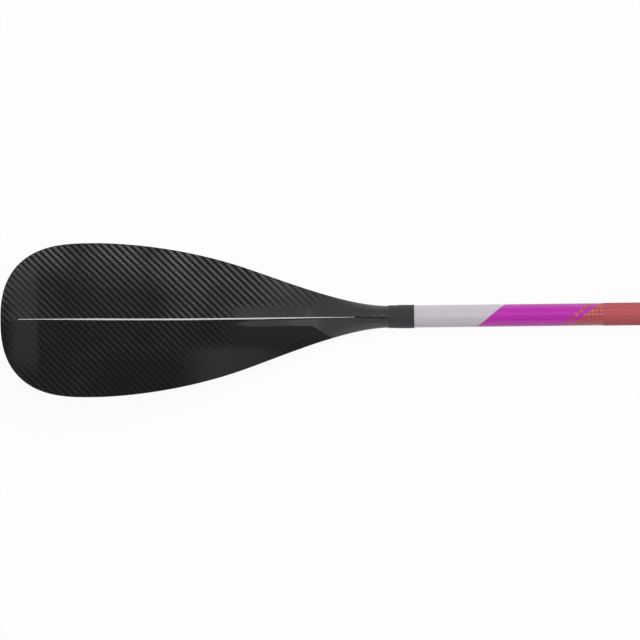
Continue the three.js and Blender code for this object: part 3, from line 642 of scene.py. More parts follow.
def lathe_tree():
    """Turns a closed outline, drawn as radius across and place along downwards, round the axis."""
    tree, given = geometry_tree(
        "lathe_about_shaft", {"Segments": "NodeSocketInt", "Axis Height": "NodeSocketFloat"}
    )
    path = put(tree, "GeometryNodeCurvePrimitiveCircle", {"Resolution": given["Segments"], "Radius": MM})
    outline = put(
        tree, "GeometryNodeTransform", {"Geometry": given["Geometry"], "Translation": (-MM, 0.0, 0.0)}
    )
    standing = put(tree, "GeometryNodeCurveToMesh", {"Curve": path, "Profile Curve": outline})
    rise = put(tree, "ShaderNodeCombineXYZ", {2: given["Axis Height"]})
    lying = put(
        tree, "GeometryNodeTransform",
        {"Geometry": standing, "Translation": rise, "Rotation": (0.0, math.pi / 2, 0.0)},
    )
    return close_tree(tree, lying, given["Material"])


def oval_profile(tree, points, radius, across, up):
    """An oval to sweep: a ring of points at a radius, stretched across and up."""
    ring = put(tree, "GeometryNodeCurvePrimitiveCircle", {"Resolution": points, "Radius": radius})
    size = put(tree, "ShaderNodeCombineXYZ", (across, up, 1.0))
    return put(tree, "GeometryNodeTransform", {"Geometry": ring, "Scale": size})


def bead_tree():
    """A flat oval bead that follows a path and takes the path's radius as a share of its size."""
    tree, given = geometry_tree(
        "bead_along_path", {"Half Width": "NodeSocketFloat", "Half Height": "NodeSocketFloat"}
    )
    oval = oval_profile(tree, 12, 1.0, given["Half Width"], given["Half Height"])
    bead = put(
        tree, "GeometryNodeCurveToMesh",
        {"Curve": given["Geometry"], "Profile Curve": oval, "Fill Caps": True,
         "Scale": put(tree, "GeometryNodeInputRadius")},
    )
    return close_tree(tree, bead, given["Material"])


def hoops_tree():
    """A row of part rings round an axis along X: marks or ribs, one at each step."""
    measures = ("Step", "Radius", "Sweep", "Turn", "Width", "Height")
    tree, given = geometry_tree("hoops_in_a_row", {
        "Count": "NodeSocketInt", **dict.fromkeys(measures, "NodeSocketFloat"), "Start": "NodeSocketVector",
    })
    half = put(tree, "ShaderNodeMath", (given["Sweep"], -0.5), operation="MULTIPLY")
    arc = put(
        tree, "GeometryNodeCurveArc",
        {"Resolution": 24, "Radius": given["Radius"], "Start Angle": half, "Sweep Angle": given["Sweep"]},
    )
    upright = put(tree, "GeometryNodeTransform", {"Geometry": arc, "Rotation": (0.0, -math.pi / 2, 0.0)})
    oval = oval_profile(tree, 10, 0.5, given["Height"], given["Width"])
    arched = put(
        tree, "GeometryNodeCurveToMesh", {"Curve": upright, "Profile Curve": oval, "Fill Caps": True}
    )
    turn = put(tree, "ShaderNodeCombineXYZ", {0: given["Turn"]})
    hoop = put(tree, "GeometryNodeTransform", {"Geometry": arched, "Rotation": turn})
    step = put(tree, "ShaderNodeCombineXYZ", {0: given["Step"]})
    line = put(
        tree, "GeometryNodeMeshLine",
        {"Count": given["Count"], "Start Location": given["Start"], "Offset": step},
    )
    row = put(tree, "GeometryNodeInstanceOnPoints", {"Points": line, "Instance": hoop})
    return close_tree(tree, row, given["Material"])


def finger_ribs_tree():
    """Round bars along X, laid side by side round an arc about the shaft."""
    measures = ("Radius", "Start Angle", "Sweep", "Half Length", "Bar")
    tree, given = geometry_tree("finger_ribs", {
        "Count": "NodeSocketInt", **dict.fromkeys(measures, "NodeSocketFloat"), "Middle": "NodeSocketVector",
    })
    arc = put(
        tree, "GeometryNodeCurveArc",
        {"Resolution": given["Count"], "Radius": given["Radius"], "Start Angle": given["Start Angle"],
         "Sweep Angle": given["Sweep"]},
    )
    round_shaft = put(
        tree, "GeometryNodeTransform",
        {"Geometry": arc, "Translation": given["Middle"], "Rotation": (math.pi / 2, 0.0, math.pi / 2)},
    )
    places = put(tree, "GeometryNodeCurveToPoints", {"Curve": round_shaft}, mode="EVALUATED")
    end = put(tree, "ShaderNodeCombineXYZ", {0: given["Half Length"]})
    start = put(tree, "ShaderNodeVectorMath", {0: end, "Scale": -1.0}, operation="SCALE")
    line = put(tree, "GeometryNodeCurvePrimitiveLine", {"Start": start, "End": end})
    ring = put(tree, "GeometryNodeCurvePrimitiveCircle", {"Resolution": 10, "Radius": given["Bar"]})
    bar = put(tree, "GeometryNodeCurveToMesh", {"Curve": line, "Profile Curve": ring, "Fill Caps": True})
    row = put(tree, "GeometryNodeInstanceOnPoints", {"Points": places, "Instance": bar})
    return close_tree(tree, row, given["Material"])


# The blade's form

SHOULDER_SHARES = [(0.303, 1.0), (0.463, 0.951), (0.631, 0.657)]
WAIST_SHARE = (0.743, 0.461)
NECK_EASE_SHARE = 0.895
WIDEST_SHARE = 0.237
BEND_SHARES = [(0.85, 0.0), (0.35, 0.685)]
SPINE_START_SHARE, SPINE_FLARE_SHARE = 0.578, 0.801
NECK_START_SHARE, NECK_FULL_SHARE = 0.855, 0.922
CUP_START_SHARE, CUP_FADE_SHARE, RAIL_END_SHARE = 0.26, 0.44, 0.83
SPINE_EASE_SHARE = 0.794
TIP_TAPER_SHARE = 0.1
BACK_SHARES = {
    "tip": [(0.0, 0.316), (0.199, 0.7), (0.419, 0.833), (0.578, 1.0)],
    "wing": [(0.65, 1.076), (0.75, 0.87), (0.855, 0.6)],
    "spine": (0.684, 1.111),
}
POWER_SHARES = {
    "tip": [(0.0, 0.68), (0.199, 0.76), (0.419, 0.88), (0.578, 1.0)],
    "wing": [(0.65, 1.054), (0.75, 1.0), (0.855, 0.7)],
    "spine": (0.684, 1.08),
}
TIP_POWERS = (2.8, 2.45)
PARTING = 0.1 * MM
BEAD_GAP = 0.05 * MM
# How finely the skins are divided: round the tip, along each side, and across each half
TIP_STATIONS, SIDE_STATIONS = 34, 120
CORE_TIP_STATIONS, CORE_STATIONS = 20, 110
BEAD_STATIONS, BEAD_ARC_STEPS = 150, 5
SPINE_CELLS, WING_CELLS = 9, 20
# The farthest out that the spine's edge lies on a skin, as a share, and the width of the cells by it
SPINE_EDGE_MOST, SPINE_EDGE_CELL = 0.86, 0.25 * MM
# The bead's thinnest lip, and its tongue: how far it reaches in, the length over which it runs out,
# how far it stays off the skins and its least share of the rim
BEAD_LIP_LEAST, BEAD_REACH, BEAD_REACH_LEAST = 0.02 * MM, 4 * MM, 0.01 * MM
BEAD_RUN_OUT, BEAD_CLEAR, BEAD_SHARE_LEAST = 10 * MM, 0.1 * MM, 0.3
# The foam stands this far in from the rim and from the faces, and each half is at least so thick
CORE_IN, CORE_UNDER, CORE_THIN = 6 * MM, 1.5 * MM, 0.2 * MM


class BladeForm:
    """The blade's outline and faces, from its tip and about the shaft's axis."""

    def __init__(self, size):
        self.size = size
        self.half = size.wide / 2
        self.neck = size.neck / 2
        self.widest = size.long * WIDEST_SHARE
        shoulder = self.along(SHOULDER_SHARES, self.half)
        waist = self.along([WAIST_SHARE], self.half)[0]
        ease = (size.long * NECK_EASE_SHARE, self.neck)
        self.outline = (
            ((self.widest, self.half), *shoulder),
            (shoulder[2], waist, ease, (size.long, self.neck)),
        )
        self.bend_start = size.long - size.straight
        bends = [(x * self.bend_start, z * size.rise) for x, z in BEND_SHARES]
        self.bend_chain = (((0.0, size.rise), bends[1], bends[0], (self.bend_start, 0.0)),)
        self.spine_start = size.long * SPINE_START_SHARE
        self.spine_flare = size.long * SPINE_FLARE_SHARE
        self.neck_start = size.long * NECK_START_SHARE
        self.neck_full = size.long * NECK_FULL_SHARE
        self.rail_end = size.long * RAIL_END_SHARE
        self.back = self.face_curves(size.back_crown, BACK_SHARES)
        self.power = self.face_curves(size.power_crown, POWER_SHARES)

    def along(self, shares, height):
        return [(x * self.size.long, share * height) for x, share in shares]

    def face_curves(self, crown, shares):
        tip = tuple(self.along(shares["tip"], crown))
        start = tip[3]
        risen = ((self.size.long * SPINE_EASE_SHARE, self.neck), (self.neck_full, self.neck))
        return {
            "ridge": (tip, (start, self.along([shares["spine"]], crown)[0], *risen)),
            "wing": (tip, (start, *self.along(shares["wing"], crown))),
        }

    def half_width(self, x):
        if x >= self.size.long:
            return self.neck
        if x >= self.widest:
            return curve_at(self.outline, x)
        along, across = TIP_POWERS
        return self.half * (1 - (1 - max(x, 0.0) / self.widest) ** along) ** (1 / across)

    def bend(self, x):
        return 0.0 if x >= self.bend_start else curve_at(self.bend_chain, x)

    def spine_half(self, x):
        if x >= self.neck_start:
            return self.half_width(x)
        flare = max(0.0, (x - self.spine_flare) / (self.neck_start - self.spine_flare))
        wide = lerp(self.size.spine / 2, self.half_width(self.neck_start), flare)
        return min(wide, self.half_width(x))

    def rim(self, x):
        return lerp(PARTING, self.size.rim / 2, self.rail_share(x))

    def rail_share(self, x):
        """1 along the rim, falling to 0 where the bead runs out into the neck."""
        return 1 - smoothstep(x, self.rail_end, self.neck_start)

    def face(self, curves, x, y):
        half, spine, rim = self.half_width(x), self.spine_half(x), self.rim(x)
        wing = max(curve_at(curves["wing"], min(x, self.neck_start)), rim)
        off = abs(y)

        def wing_height(place):
            return rim + (wing - rim) * (1 - min(place / max(half, 1e-6), 1.0))

        if off >= spine:
            return wing_height(off)
        ridge = curve_at(curves["ridge"], min(x, self.neck_full))
        foot = wing_height(spine)
        roundness = smoothstep(x, self.neck_start - 20 * MM, self.size.long)
        across = off / spine
        return foot + (ridge - foot) * lerp(1 - across, math.sqrt(1 - across * across), roundness)

    def middle(self, x, y):
        fade = smoothstep(x, 0.0, self.size.long * CUP_START_SHARE)
        fade *= 1 - smoothstep(x, self.size.long * CUP_FADE_SHARE, self.neck_start)
        half = self.half_width(x)
        out = (y / half) ** 2 if abs(y) < half else 1.0
        return self.bend(x) - self.size.cup * fade * out

    def height(self, side, x, y):
        curves = self.back if side > 0 else self.power
        return self.middle(x, y) + side * self.face(curves, x, y)

    def stations(self, end, tip_count, count):
        """Places along one side, each with its half width: closer together round the tip."""
        found = []
        for i in range(tip_count):
            share = math.sin(lerp(math.asin(TIP_TAPER_SHARE), math.pi / 2, i / tip_count))
            along, across = TIP_POWERS
            found.append((self.widest * (1 - (1 - share**across) ** (1 / along)), self.half * share))
        for i in range(count + 1):
            x = lerp(self.widest, min(end, self.size.long), i / count)
            found.append((x, self.half_width(x)))
        if end > self.size.long:
            found += [(lerp(self.size.long, end, k / 4), self.neck) for k in (1, 2, 3, 4)]
        return found

    def cross(self, x, half):
        """Places across a skin as shares of its half width, close together at the spine's edge."""
        cells = SPINE_CELLS + WING_CELLS
        edge = min(self.spine_half(x) / half, SPINE_EDGE_MOST)
        tight = SPINE_EDGE_CELL / half
        to_neck = smoothstep(x, self.spine_flare, self.neck_full)
        shares = []
        for j in range(cells + 1):
            if j < SPINE_CELLS:
                flat = (edge - tight) * j / (SPINE_CELLS - 1)
            elif j == SPINE_CELLS:
                flat = edge
            else:
                flat = lerp(edge + tight, 1.0, (j - SPINE_CELLS - 1) / (WING_CELLS - 1))
            shares.append(lerp(flat, math.sin(math.pi / 2 * j / cells), to_neck))
        return [-share for share in shares[:0:-1]] + shares


def outward(stations, i):
    """The outward direction of the outline at a station, in the plane of the blade."""
    if i == 0:
        return -1.0, 0.0
    before, after = stations[i - 1], stations[min(i + 1, len(stations) - 1)]
    run = math.hypot(after[0] - before[0], after[1] - before[1])
    return -(after[1] - before[1]) / run, (after[0] - before[0]) / run


def blade_point(x, y, z):
    return Vector((TIP_X + x, y, AXIS_Z + z))


def inset(outline, depth):
    """The outline's stations moved in by a depth that depends on the place along."""
    rows = []
    for i, (x, half) in enumerate(outline):
        out_x, out_y = outward(outline, i)
        rows.append((x - depth(x) * out_x, half - depth(x) * out_y))
    return rows


# The cloth's look over the blade, with its painted glint, light, shade and reflection

# Where each smooth change starts and ends, along the blade from its tip or out from its middle line: the
# painted glint duller or brighter, the cloth fading to the neck, a paler haze near the tip and a painted
# reflection low on the blade
DULLER_BY_LINE, BRIGHTER_BY_LINE = (60 * MM, 110 * MM), (170 * MM, 255 * MM)
BRIGHTER_OUT_SHARES = (0.28, 0.95)
FADING_TO_NECK = (285 * MM, 345 * MM)
DULLER_BELOW, DULLER_BELOW_OUT = (90 * MM, 140 * MM), (30 * MM, 55 * MM)
BRIGHTER_FROM_TIP = (40 * MM, 140 * MM)
TIP_HAZE_START, TIP_HAZE_END, TIP_HAZE_OUT = (5 * MM, 20 * MM), (41 * MM, 45 * MM), (42 * MM, 75 * MM)
LOW_REFLECTION_START, LOW_REFLECTION_END, LOW_REFLECTION_OUT = (195 * MM, 255 * MM), (290 * MM, 350 * MM), (24 * MM, 42 * MM)
# The tongue of painted light on the spine's resin: its point past the spine's start and in from its edge, and
# its slants
TONGUE_START, TONGUE_IN, TONGUE_SLANTS = 9 * MM, 3.3 * MM, (4.6, 5.0)


def upper_cloth(form, x, y, off, spined):
    """Cloth, painted sheen, painted resin shade and narrowness on the half towards the upper lamps: the
    painted glint on the tows grows out towards the rim.
    """
    cloth = 1 - spined * (1 - smoothstep(off, 0.3 * MM, 8 * MM))
    cloth *= lerp(1.0, 0.5, smoothstep(x, *FADING_TO_NECK))
    by_line = lerp(0.42, 0.14, smoothstep(x, *DULLER_BY_LINE))
    by_line = lerp(by_line, 0.66, smoothstep(x, *BRIGHTER_BY_LINE))
    share = y / max(form.half_width(x), 1e-6)
    sheen = 0.8 * lerp(by_line, 1.0, smoothstep(share, *BRIGHTER_OUT_SHARES))
    sheen *= lerp(1.0, 0.6, smoothstep(x, form.spine_flare - 60 * MM, form.neck_start))
    return cloth, sheen, 0.78, 0.0


def lower_cloth(form, x, y, off, spined):
    """The same on the other half: thin dull painted glints, painted shade on the resin off the spine, and a
    tongue of painted light on the spine.
    """
    cloth = 1 - spined * (1 - 0.8 * smoothstep(off, 4 * MM, 28 * MM))
    sheen = 0.16 * (1 - 0.6 * smoothstep(x, *DULLER_BELOW) * smoothstep(-y, *DULLER_BELOW_OUT))
    inward = off + TONGUE_IN
    point = form.spine_start + TONGUE_START
    point += TONGUE_SLANTS[0] * max(-inward, 0.0) + TONGUE_SLANTS[1] * max(inward, 0.0)
    # Painted light on the tongue's lower facet, and painted shade on the resin beside it
    tone = lerp(0.2, 1.0, smoothstep(x, point, point + 5 * MM)) if off <= 0 else 0.2
    return cloth, sheen, tone, 0.6


def cloth_values(form, x, y):
    """At a point of a skin: how much cloth shows, how strong the painted glint on its tows is, the plain
    resin's painted light and shade, how much haze and painted reflection lie over it, and how narrow the
    glints are."""
    off = abs(y) - form.spine_half(x)
    spined = smoothstep(x, form.spine_start - 12 * MM, form.spine_start + 24 * MM)
    half = upper_cloth if y > 0 else lower_cloth
    cloth, sheen, tone, narrow = half(form, x, y, off, spined)
    sheen *= lerp(0.7, 1.0, smoothstep(x, *BRIGHTER_FROM_TIP))
    tone = lerp(0.25, tone, smoothstep(x, form.spine_start, form.spine_start + 20 * MM))
    # Painted light and shade on the neck's resin: paler on its lower side
    if off <= 0:
        tone = lerp(tone, 0.88 if y > 0 else 1.0, smoothstep(x, form.neck_start - 14 * MM, form.neck_full))
    # A paler haze near the tip, and a painted reflection low on the blade towards the neck
    haze = 0.42 * smoothstep(x, *TIP_HAZE_START) * (1 - smoothstep(x, *TIP_HAZE_END))
    haze *= 1 - smoothstep(abs(y - 4 * MM), *TIP_HAZE_OUT)
    low_reflection = 0.66 * smoothstep(x, *LOW_REFLECTION_START) * (1 - smoothstep(x, *LOW_REFLECTION_END))
    haze += low_reflection * smoothstep(-y, *LOW_REFLECTION_OUT)
    return cloth, sheen, tone, haze, narrow


# The blade's pieces


def blade_skin(form, name, side, material, nodes):
    """One moulded skin: its outside on the blade's face, and its inside the skin's thickness in."""
    size = form.size
    outline = form.stations(size.long + size.neck_lap, TIP_STATIONS, SIDE_STATIONS)
    outer, inner = [], []
    for x, half in inset(outline, lambda x: (size.lip + BEAD_GAP) * form.rail_share(x)):
        section = [(share * half, form.height(side, x, share * half)) for share in form.cross(x, half)]
        outer.append([blade_point(x, y, z) for y, z in section])
        inside = []
        for j, (y, z) in enumerate(section):
            before, after = section[max(j - 1, 0)], section[min(j + 1, len(section) - 1)]
            run = math.hypot(after[0] - before[0], after[1] - before[1])
            slope_y, slope_z = (after[0] - before[0]) / run, (after[1] - before[1]) / run
            moved_y = y + size.skin * side * slope_z
            moved_z = z - size.skin * side * slope_y
            parting = form.bend(x) + side * PARTING
            if side * (moved_z - parting) < 0 and x > form.rail_end:
                moved_z = parting
            inside.append(blade_point(x, moved_y, moved_z))
        inner.append(inside)
    obj = slab(name, outer, inner)
    places = [(v.co.x - TIP_X, v.co.y) for v in obj.data.vertices]
    for label, values in zip(CLOTH_ATTRIBUTES, zip(*[cloth_values(form, *p) for p in places])):
        obj.data.attributes.new(label, "FLOAT", "POINT").data.foreach_set("value", values)
    return finish_mesh(obj, BLADE_BODY, material, nodes, sharp_degrees=50)


def foam_core(form, material):
    """The core that fills the blade between its skins, well clear of them and of the edge bead."""
    outline = form.stations(form.rail_end, CORE_TIP_STATIONS, CORE_STATIONS)
    top, bottom = [], []
    for x, half in inset(outline, lambda x: CORE_IN):
        for side, curves, grid in ((1, form.back, top), (-1, form.power, bottom)):
            row = []
            for share in form.cross(x, half):
                y = share * half
                thick = max(form.face(curves, x, y) - CORE_UNDER, CORE_THIN)
                row.append(blade_point(x, y, form.middle(x, y) + side * thick))
            grid.append(row)
    obj = slab("foam_core", top, bottom)
    return finish_mesh(obj, BLADE_BODY, material, ("blade_foam_core",))


def edge_bead(form, material):
    """A bead round the rim: a round lip outside, and a thin tongue that reaches in between the skins."""
    size = form.size
    side = form.stations(form.neck_start, TIP_STATIONS, BEAD_STATIONS)
    quarter = [math.pi / 2 * k / BEAD_ARC_STEPS for k in range(-BEAD_ARC_STEPS, BEAD_ARC_STEPS + 1)]

    def ring(x, wide, direction, hand):
        share, rim = form.rail_share(x), form.rim(x)
        lip = max(size.lip * share, BEAD_LIP_LEAST)
        full = 1 - smoothstep(x, form.rail_end - BEAD_RUN_OUT, form.rail_end)
        reach = lip + BEAD_REACH * full + BEAD_REACH_LEAST
        tongue = max(rim - size.skin - BEAD_CLEAR, BEAD_SHARE_LEAST * rim)
        section = [(lip * (1 - math.cos(a)), rim * math.sin(a)) for a in quarter]
        section += [(lip, tongue), (reach, tongue), (reach, -tongue), (lip, -tongue)]
        places = [(x - depth * direction[0], wide - depth * direction[1], up) for depth, up in section]
        return [blade_point(a, hand * b, form.middle(a, b) + up) for a, b, up in places]

    last = form.neck_start - 0.5 * MM
    kept = [(x, wide, outward(side, i)) for i, (x, wide) in enumerate(side) if x < last]
    rings = [ring(*values, -1) for values in reversed(kept)] + [ring(0.0, 0.0, (-1.0, 0.0), 1)]
    rings += [ring(*values, 1) for values in kept]
    obj = sweep("blade_edge_bead", rings)
    return finish_mesh(obj, BLADE_BODY, material, ("blade_edge_rail",))


# The grip's form

GRIP_LONG, GRIP_THICK, GRIP_SOCKET, GRIP_WALL = 74 * MM, 30 * MM, 14 * MM, 1.7 * MM
STEM_RADIUS = 13.3 * MM
GRIP_ROWS, GRIP_COLUMNS = 72, 48
GRIP_SHARES = [
    (0.324, 0.252, 0.89), (0.446, 0.345, 0.88), (0.527, 0.582, 0.88), (0.588, 0.836, 0.907),
    (0.676, 0.982, 0.973), (0.77, 1.0, 1.0), (0.865, 0.927, 0.907), (0.939, 0.727, 0.72), (0.986, 0.4, 0.433),
    (1.0, 0.0, 0.0),
]


def grip_curve(wide):
    stem = [(0.0, STEM_RADIUS, STEM_RADIUS), (GRIP_SOCKET, STEM_RADIUS, STEM_RADIUS)]
    return [Vector(p) for p in stem] + [
        Vector((a * GRIP_LONG, b * wide, c * GRIP_THICK / 2)) for a, b, c in GRIP_SHARES
    ]


def spline_point(points, t):
    """A point and direction of the smooth curve through points, at a share of its way."""
    place = min(max(t, 0.0), 1.0) * (len(points) - 1)
    i = min(int(place), len(points) - 2)
    share = place - i
    p1, p2 = points[i], points[i + 1]
    p0 = points[i - 1] if i > 0 else p1 * 2 - p2
    p3 = points[i + 2] if i + 2 < len(points) else p2 * 2 - p1
    a, b, c = (p2 - p0) / 2, p0 - p1 * 2.5 + p2 * 2 - p3 / 2, (p3 - p0) / 2 + (p1 - p2) * 1.5
    return p1 + (a + (b + c * share) * share) * share, a + (b * 2 + c * 3 * share) * share


def grip_grid(side, wall, wide):
    """One half of the grip's surface, a wall in from its outside: rounder at the stem than in the
    palm."""
    points = grip_curve(wide)
    grid = []
    for i in range(GRIP_ROWS + 1):
        t = i / GRIP_ROWS
        at, way = spline_point(points, t)
        run = math.hypot(way.x, way.y)
        thinner = 1 - wall / (GRIP_THICK / 2)
        play = lerp(STEM_RADIUS - wall, STEM_RADIUS * thinner, t) / (STEM_RADIUS * thinner)
        along = at.x + wall * way.y / run
        half = max(0.0, at.y - wall * way.x / run)
        thick = at.z * thinner * play
        power = 2 / lerp(2, 2.4, smoothstep(half, STEM_RADIUS, wide))
        row = []
        for j in range(GRIP_COLUMNS + 1):
            angle = math.pi * j / GRIP_COLUMNS
            cosine, sine = math.cos(angle), math.sin(angle)
            across = math.copysign(abs(cosine) ** power, cosine) * half
            up = max(abs(sine) ** power * thick, PARTING)
            row.append(Vector((GRIP_X + along, across, AXIS_Z + side * up)))
        grid.append(row)
    return grid


# Operators

TRIM_STEPS = 200
SANDED_BEAD_SHARES = (0.957, 0.965), (0.976, 0.988)
DIGIT_HEIGHT, DIGIT_GAP, INK_LIFT, INK_THICK = 6.5 * MM, 1.2 * MM, 0.03 * MM, 0.05 * MM
SHAFT_WALL, FILM_WALL, TUBE_WALL = 1.35 * MM, 0.22 * MM, 1.8 * MM
KEYWAY_HALF, KEYWAY_DEPTH, KEYWAY_SHORT = 1.8 * MM, 0.9 * MM, 16 * MM
TUBE_STEPS = 96


class PADDLE_OT_blade(bpy.types.Operator):
    """Two carbon skins, their core and edge bead, the painted line and the seam on the neck"""

    bl_idname = "paddle.blade"
    bl_label = "Blade"

    def execute(self, context):
        size = context.scene.paddle_blade
        form = BladeForm(size)
        cloth = carbon_cloth(size)
        blade_skin(form, "back_skin", 1, cloth, ("blade_back_skin",))
        blade_skin(form, "power_skin", -1, cloth, ("blade_power_skin",))
        # PVC foam: a chalky cream with open cells cut across
        foam_core(form, moulded("closed_cell_foam", linear_rgb("#D9D2C0"), 0.9, 0.8 * MM, 0.1 * MM))
        # Moulded ABS: a dull charcoal that takes a thin line of light
        edge_bead(form, moulded("moulded_abs_bead", linear_rgb("#39373A"), 0.42, IOR=1.54))
        self.pinline(form)
        return {"FINISHED"}

    def pinline(self, form):
        """The painted line in its groove, and the neck's seam with two beads that were sanded."""
        size = form.size
        bead = bead_tree()
        # Enamel: clean off-white with a low gloss
        paint = moulded("pinline_enamel", list(size.line), 0.4, depth=0.005 * MM, IOR=1.5)
        # Epoxy squeezed from the mould's joint: glossy black, broken up where it was scraped. In the groove
        # beside the painted line the same black is painted shade.
        resin = moulded("squeezed_epoxy", linear_rgb("#141315"), 0.3, IOR=1.55)
        # The same epoxy sanded: dull and pale
        sanded = moulded("sanded_epoxy", linear_rgb("#6A676C"), 0.6, IOR=1.55)
        groove_start, groove_full = form.spine_start - 20 * MM, form.spine_start + 20 * MM
        paint_full, taper_start = size.pinline_start + 110 * MM, 200 * MM
        seam_start = size.pinline_end - 3 * MM

        def course(x):
            """How far the line lies off the blade's middle line."""
            low = lerp(2.0, -0.3, smoothstep(x, 0.0, 240 * MM))
            return lerp(low, 0.0, smoothstep(x, 290 * MM, 375 * MM)) * MM

        def groove_course(x):
            return course(x) + lerp(-0.6 * MM, 0.0, smoothstep(x, form.spine_flare, form.neck_start))

        def seam_course(x):
            drop = lerp(0.0, -1.3 * MM, smoothstep(x, seam_start, size.long))
            return drop + 0.25 * MM * math.sin(x / (1.9 * MM))

        def thinning(x, end):
            """1 up to where the taper starts, and the share given as end at the line's end."""
            return lerp(1.0, end, max(x - taper_start, 0.0) ** 2 / (size.pinline_end - taper_start) ** 2)

        def seam_share(x):
            return 0.45 + 0.45 * smoothstep(math.sin((x - seam_start) / (2.3 * MM)), -0.6, 0.5)

        # The groove under the painted line, whose black edges are painted shade
        self.trim(
            form, "pinline_groove", bead, resin, size.pinline / 2 + 0.5 * MM, 0.16 * MM, 0.1 * MM,
            (groove_start, size.pinline_end), groove_course,
            lambda x: lerp(0.3, 1.0, smoothstep(x, groove_start, groove_full)) * thinning(x, 0.5),
        )
        self.trim(
            form, "pinline", bead, paint, size.pinline / 2, 0.5 * MM, 0.1 * MM,
            (size.pinline_start, size.pinline_end), course,
            lambda x: lerp(0.36, 1.0, smoothstep(x, size.pinline_start, paint_full)) * thinning(x, 0.2),
        )
        self.trim(
            form, "neck_seam", bead, resin, 0.9 * MM, 0.4 * MM, 0.12 * MM,
            (seam_start, size.long - 0.3 * MM), seam_course, seam_share,
        )
        for start, end in SANDED_BEAD_SHARES:
            middle, half_long = (start + end) / 2 * size.long, (end - start) / 2 * size.long
            self.trim(
                form, "seam_bead", bead, sanded, 0.5 * MM, 0.35 * MM, 0.1 * MM,
                (middle - half_long, middle + half_long), lambda x: 1.6 * MM,
                lambda x: math.sqrt(max(1 - ((x - middle) / half_long) ** 2, 0.0)) + 0.02,
            )

    def trim(self, form, name, tree, material, half_width, half_height, sunk, ends, sway, share):
        """A bead along the blade's crease between two ends, from its sway and share of full size."""
        places, radii = [], []
        for k in range(TRIM_STEPS + 1):
            x = lerp(*ends, k / TRIM_STEPS)
            radii.append(share(x))
            places.append(blade_point(x, sway(x), form.height(1, x, sway(x)) - sunk * radii[-1]))
        obj = grow(
            path_object(name, places, radii), tree,
            {"Half Width": half_width, "Half Height": half_height, "Material": material},
        )
        finish_mesh(facing_out(obj), BLADE_BODY, material)


class PADDLE_OT_shaft(bpy.types.Operator):
    """The painted shaft, the shrink sleeve over its joint and the anti-slip film"""

    bl_idname = "paddle.shaft"
    bl_label = "Shaft"

    def execute(self, context):
        shaft, blade = context.scene.paddle_shaft, context.scene.paddle_blade
        for name, node, wall, ease, material, slot in (
            ("shaft_tube", "main_shaft", SHAFT_WALL, 0.25 * MM, shaft_paint(shaft), "painted_carbon"),
            ("grip_film", "anti_slip_film", FILM_WALL, 0.08 * MM, anti_slip(shaft), "coral_film"),
        ):
            start, end, outer = from_tip(node)
            outline = [(start, outer - wall), (end, outer - wall), (end, outer), (start, outer)]
            finish_mesh(turned(name, outline, ease, material), BLADE_BODY, material, (node,))
        # Shrunk polyolefin: soft charcoal with a faint wrinkle
        black = moulded(
            "shrunk_polyolefin", linear_rgb("#444145"), 0.6, 1.2 * MM, 0.04 * MM,
            **{"IOR": 1.49, "Specular IOR Level": 0.3},
        )
        sleeve = turned("shrink_sleeve", self.sleeve_outline(blade), 0.15 * MM, black)
        finish_mesh(sleeve, BLADE_BODY, black, ("neck_shrink_sleeve",))
        return {"FINISHED"}

    def sleeve_outline(self, blade):
        """Tight on the neck, up over the joint's step on to the shaft, and rolled at its end there."""
        start, end, _ = from_tip("neck_shrink_sleeve")
        end += 0.8 * MM
        joint = blade.long + blade.neck_lap
        inner_step, outer_step = (joint - 1.4 * MM, joint - 0.15 * MM), (joint - 0.8 * MM, joint + 0.4 * MM)
        over_neck, over_shaft = blade.neck / 2 + 0.05 * MM, from_tip("main_shaft")[2] + 0.1 * MM
        neck_top, shaft_top = over_neck + 0.42 * MM, over_shaft + 0.55 * MM
        roll_top = shaft_top + 0.15 * MM
        return [
            (start, over_neck), (inner_step[0], over_neck), (inner_step[1], over_shaft), (end, over_shaft),
            (end, roll_top), (end - 1.6 * MM, roll_top), (end - 1.72 * MM, shaft_top),
            (outer_step[1], shaft_top), (outer_step[0], neck_top), (start, neck_top),
        ]


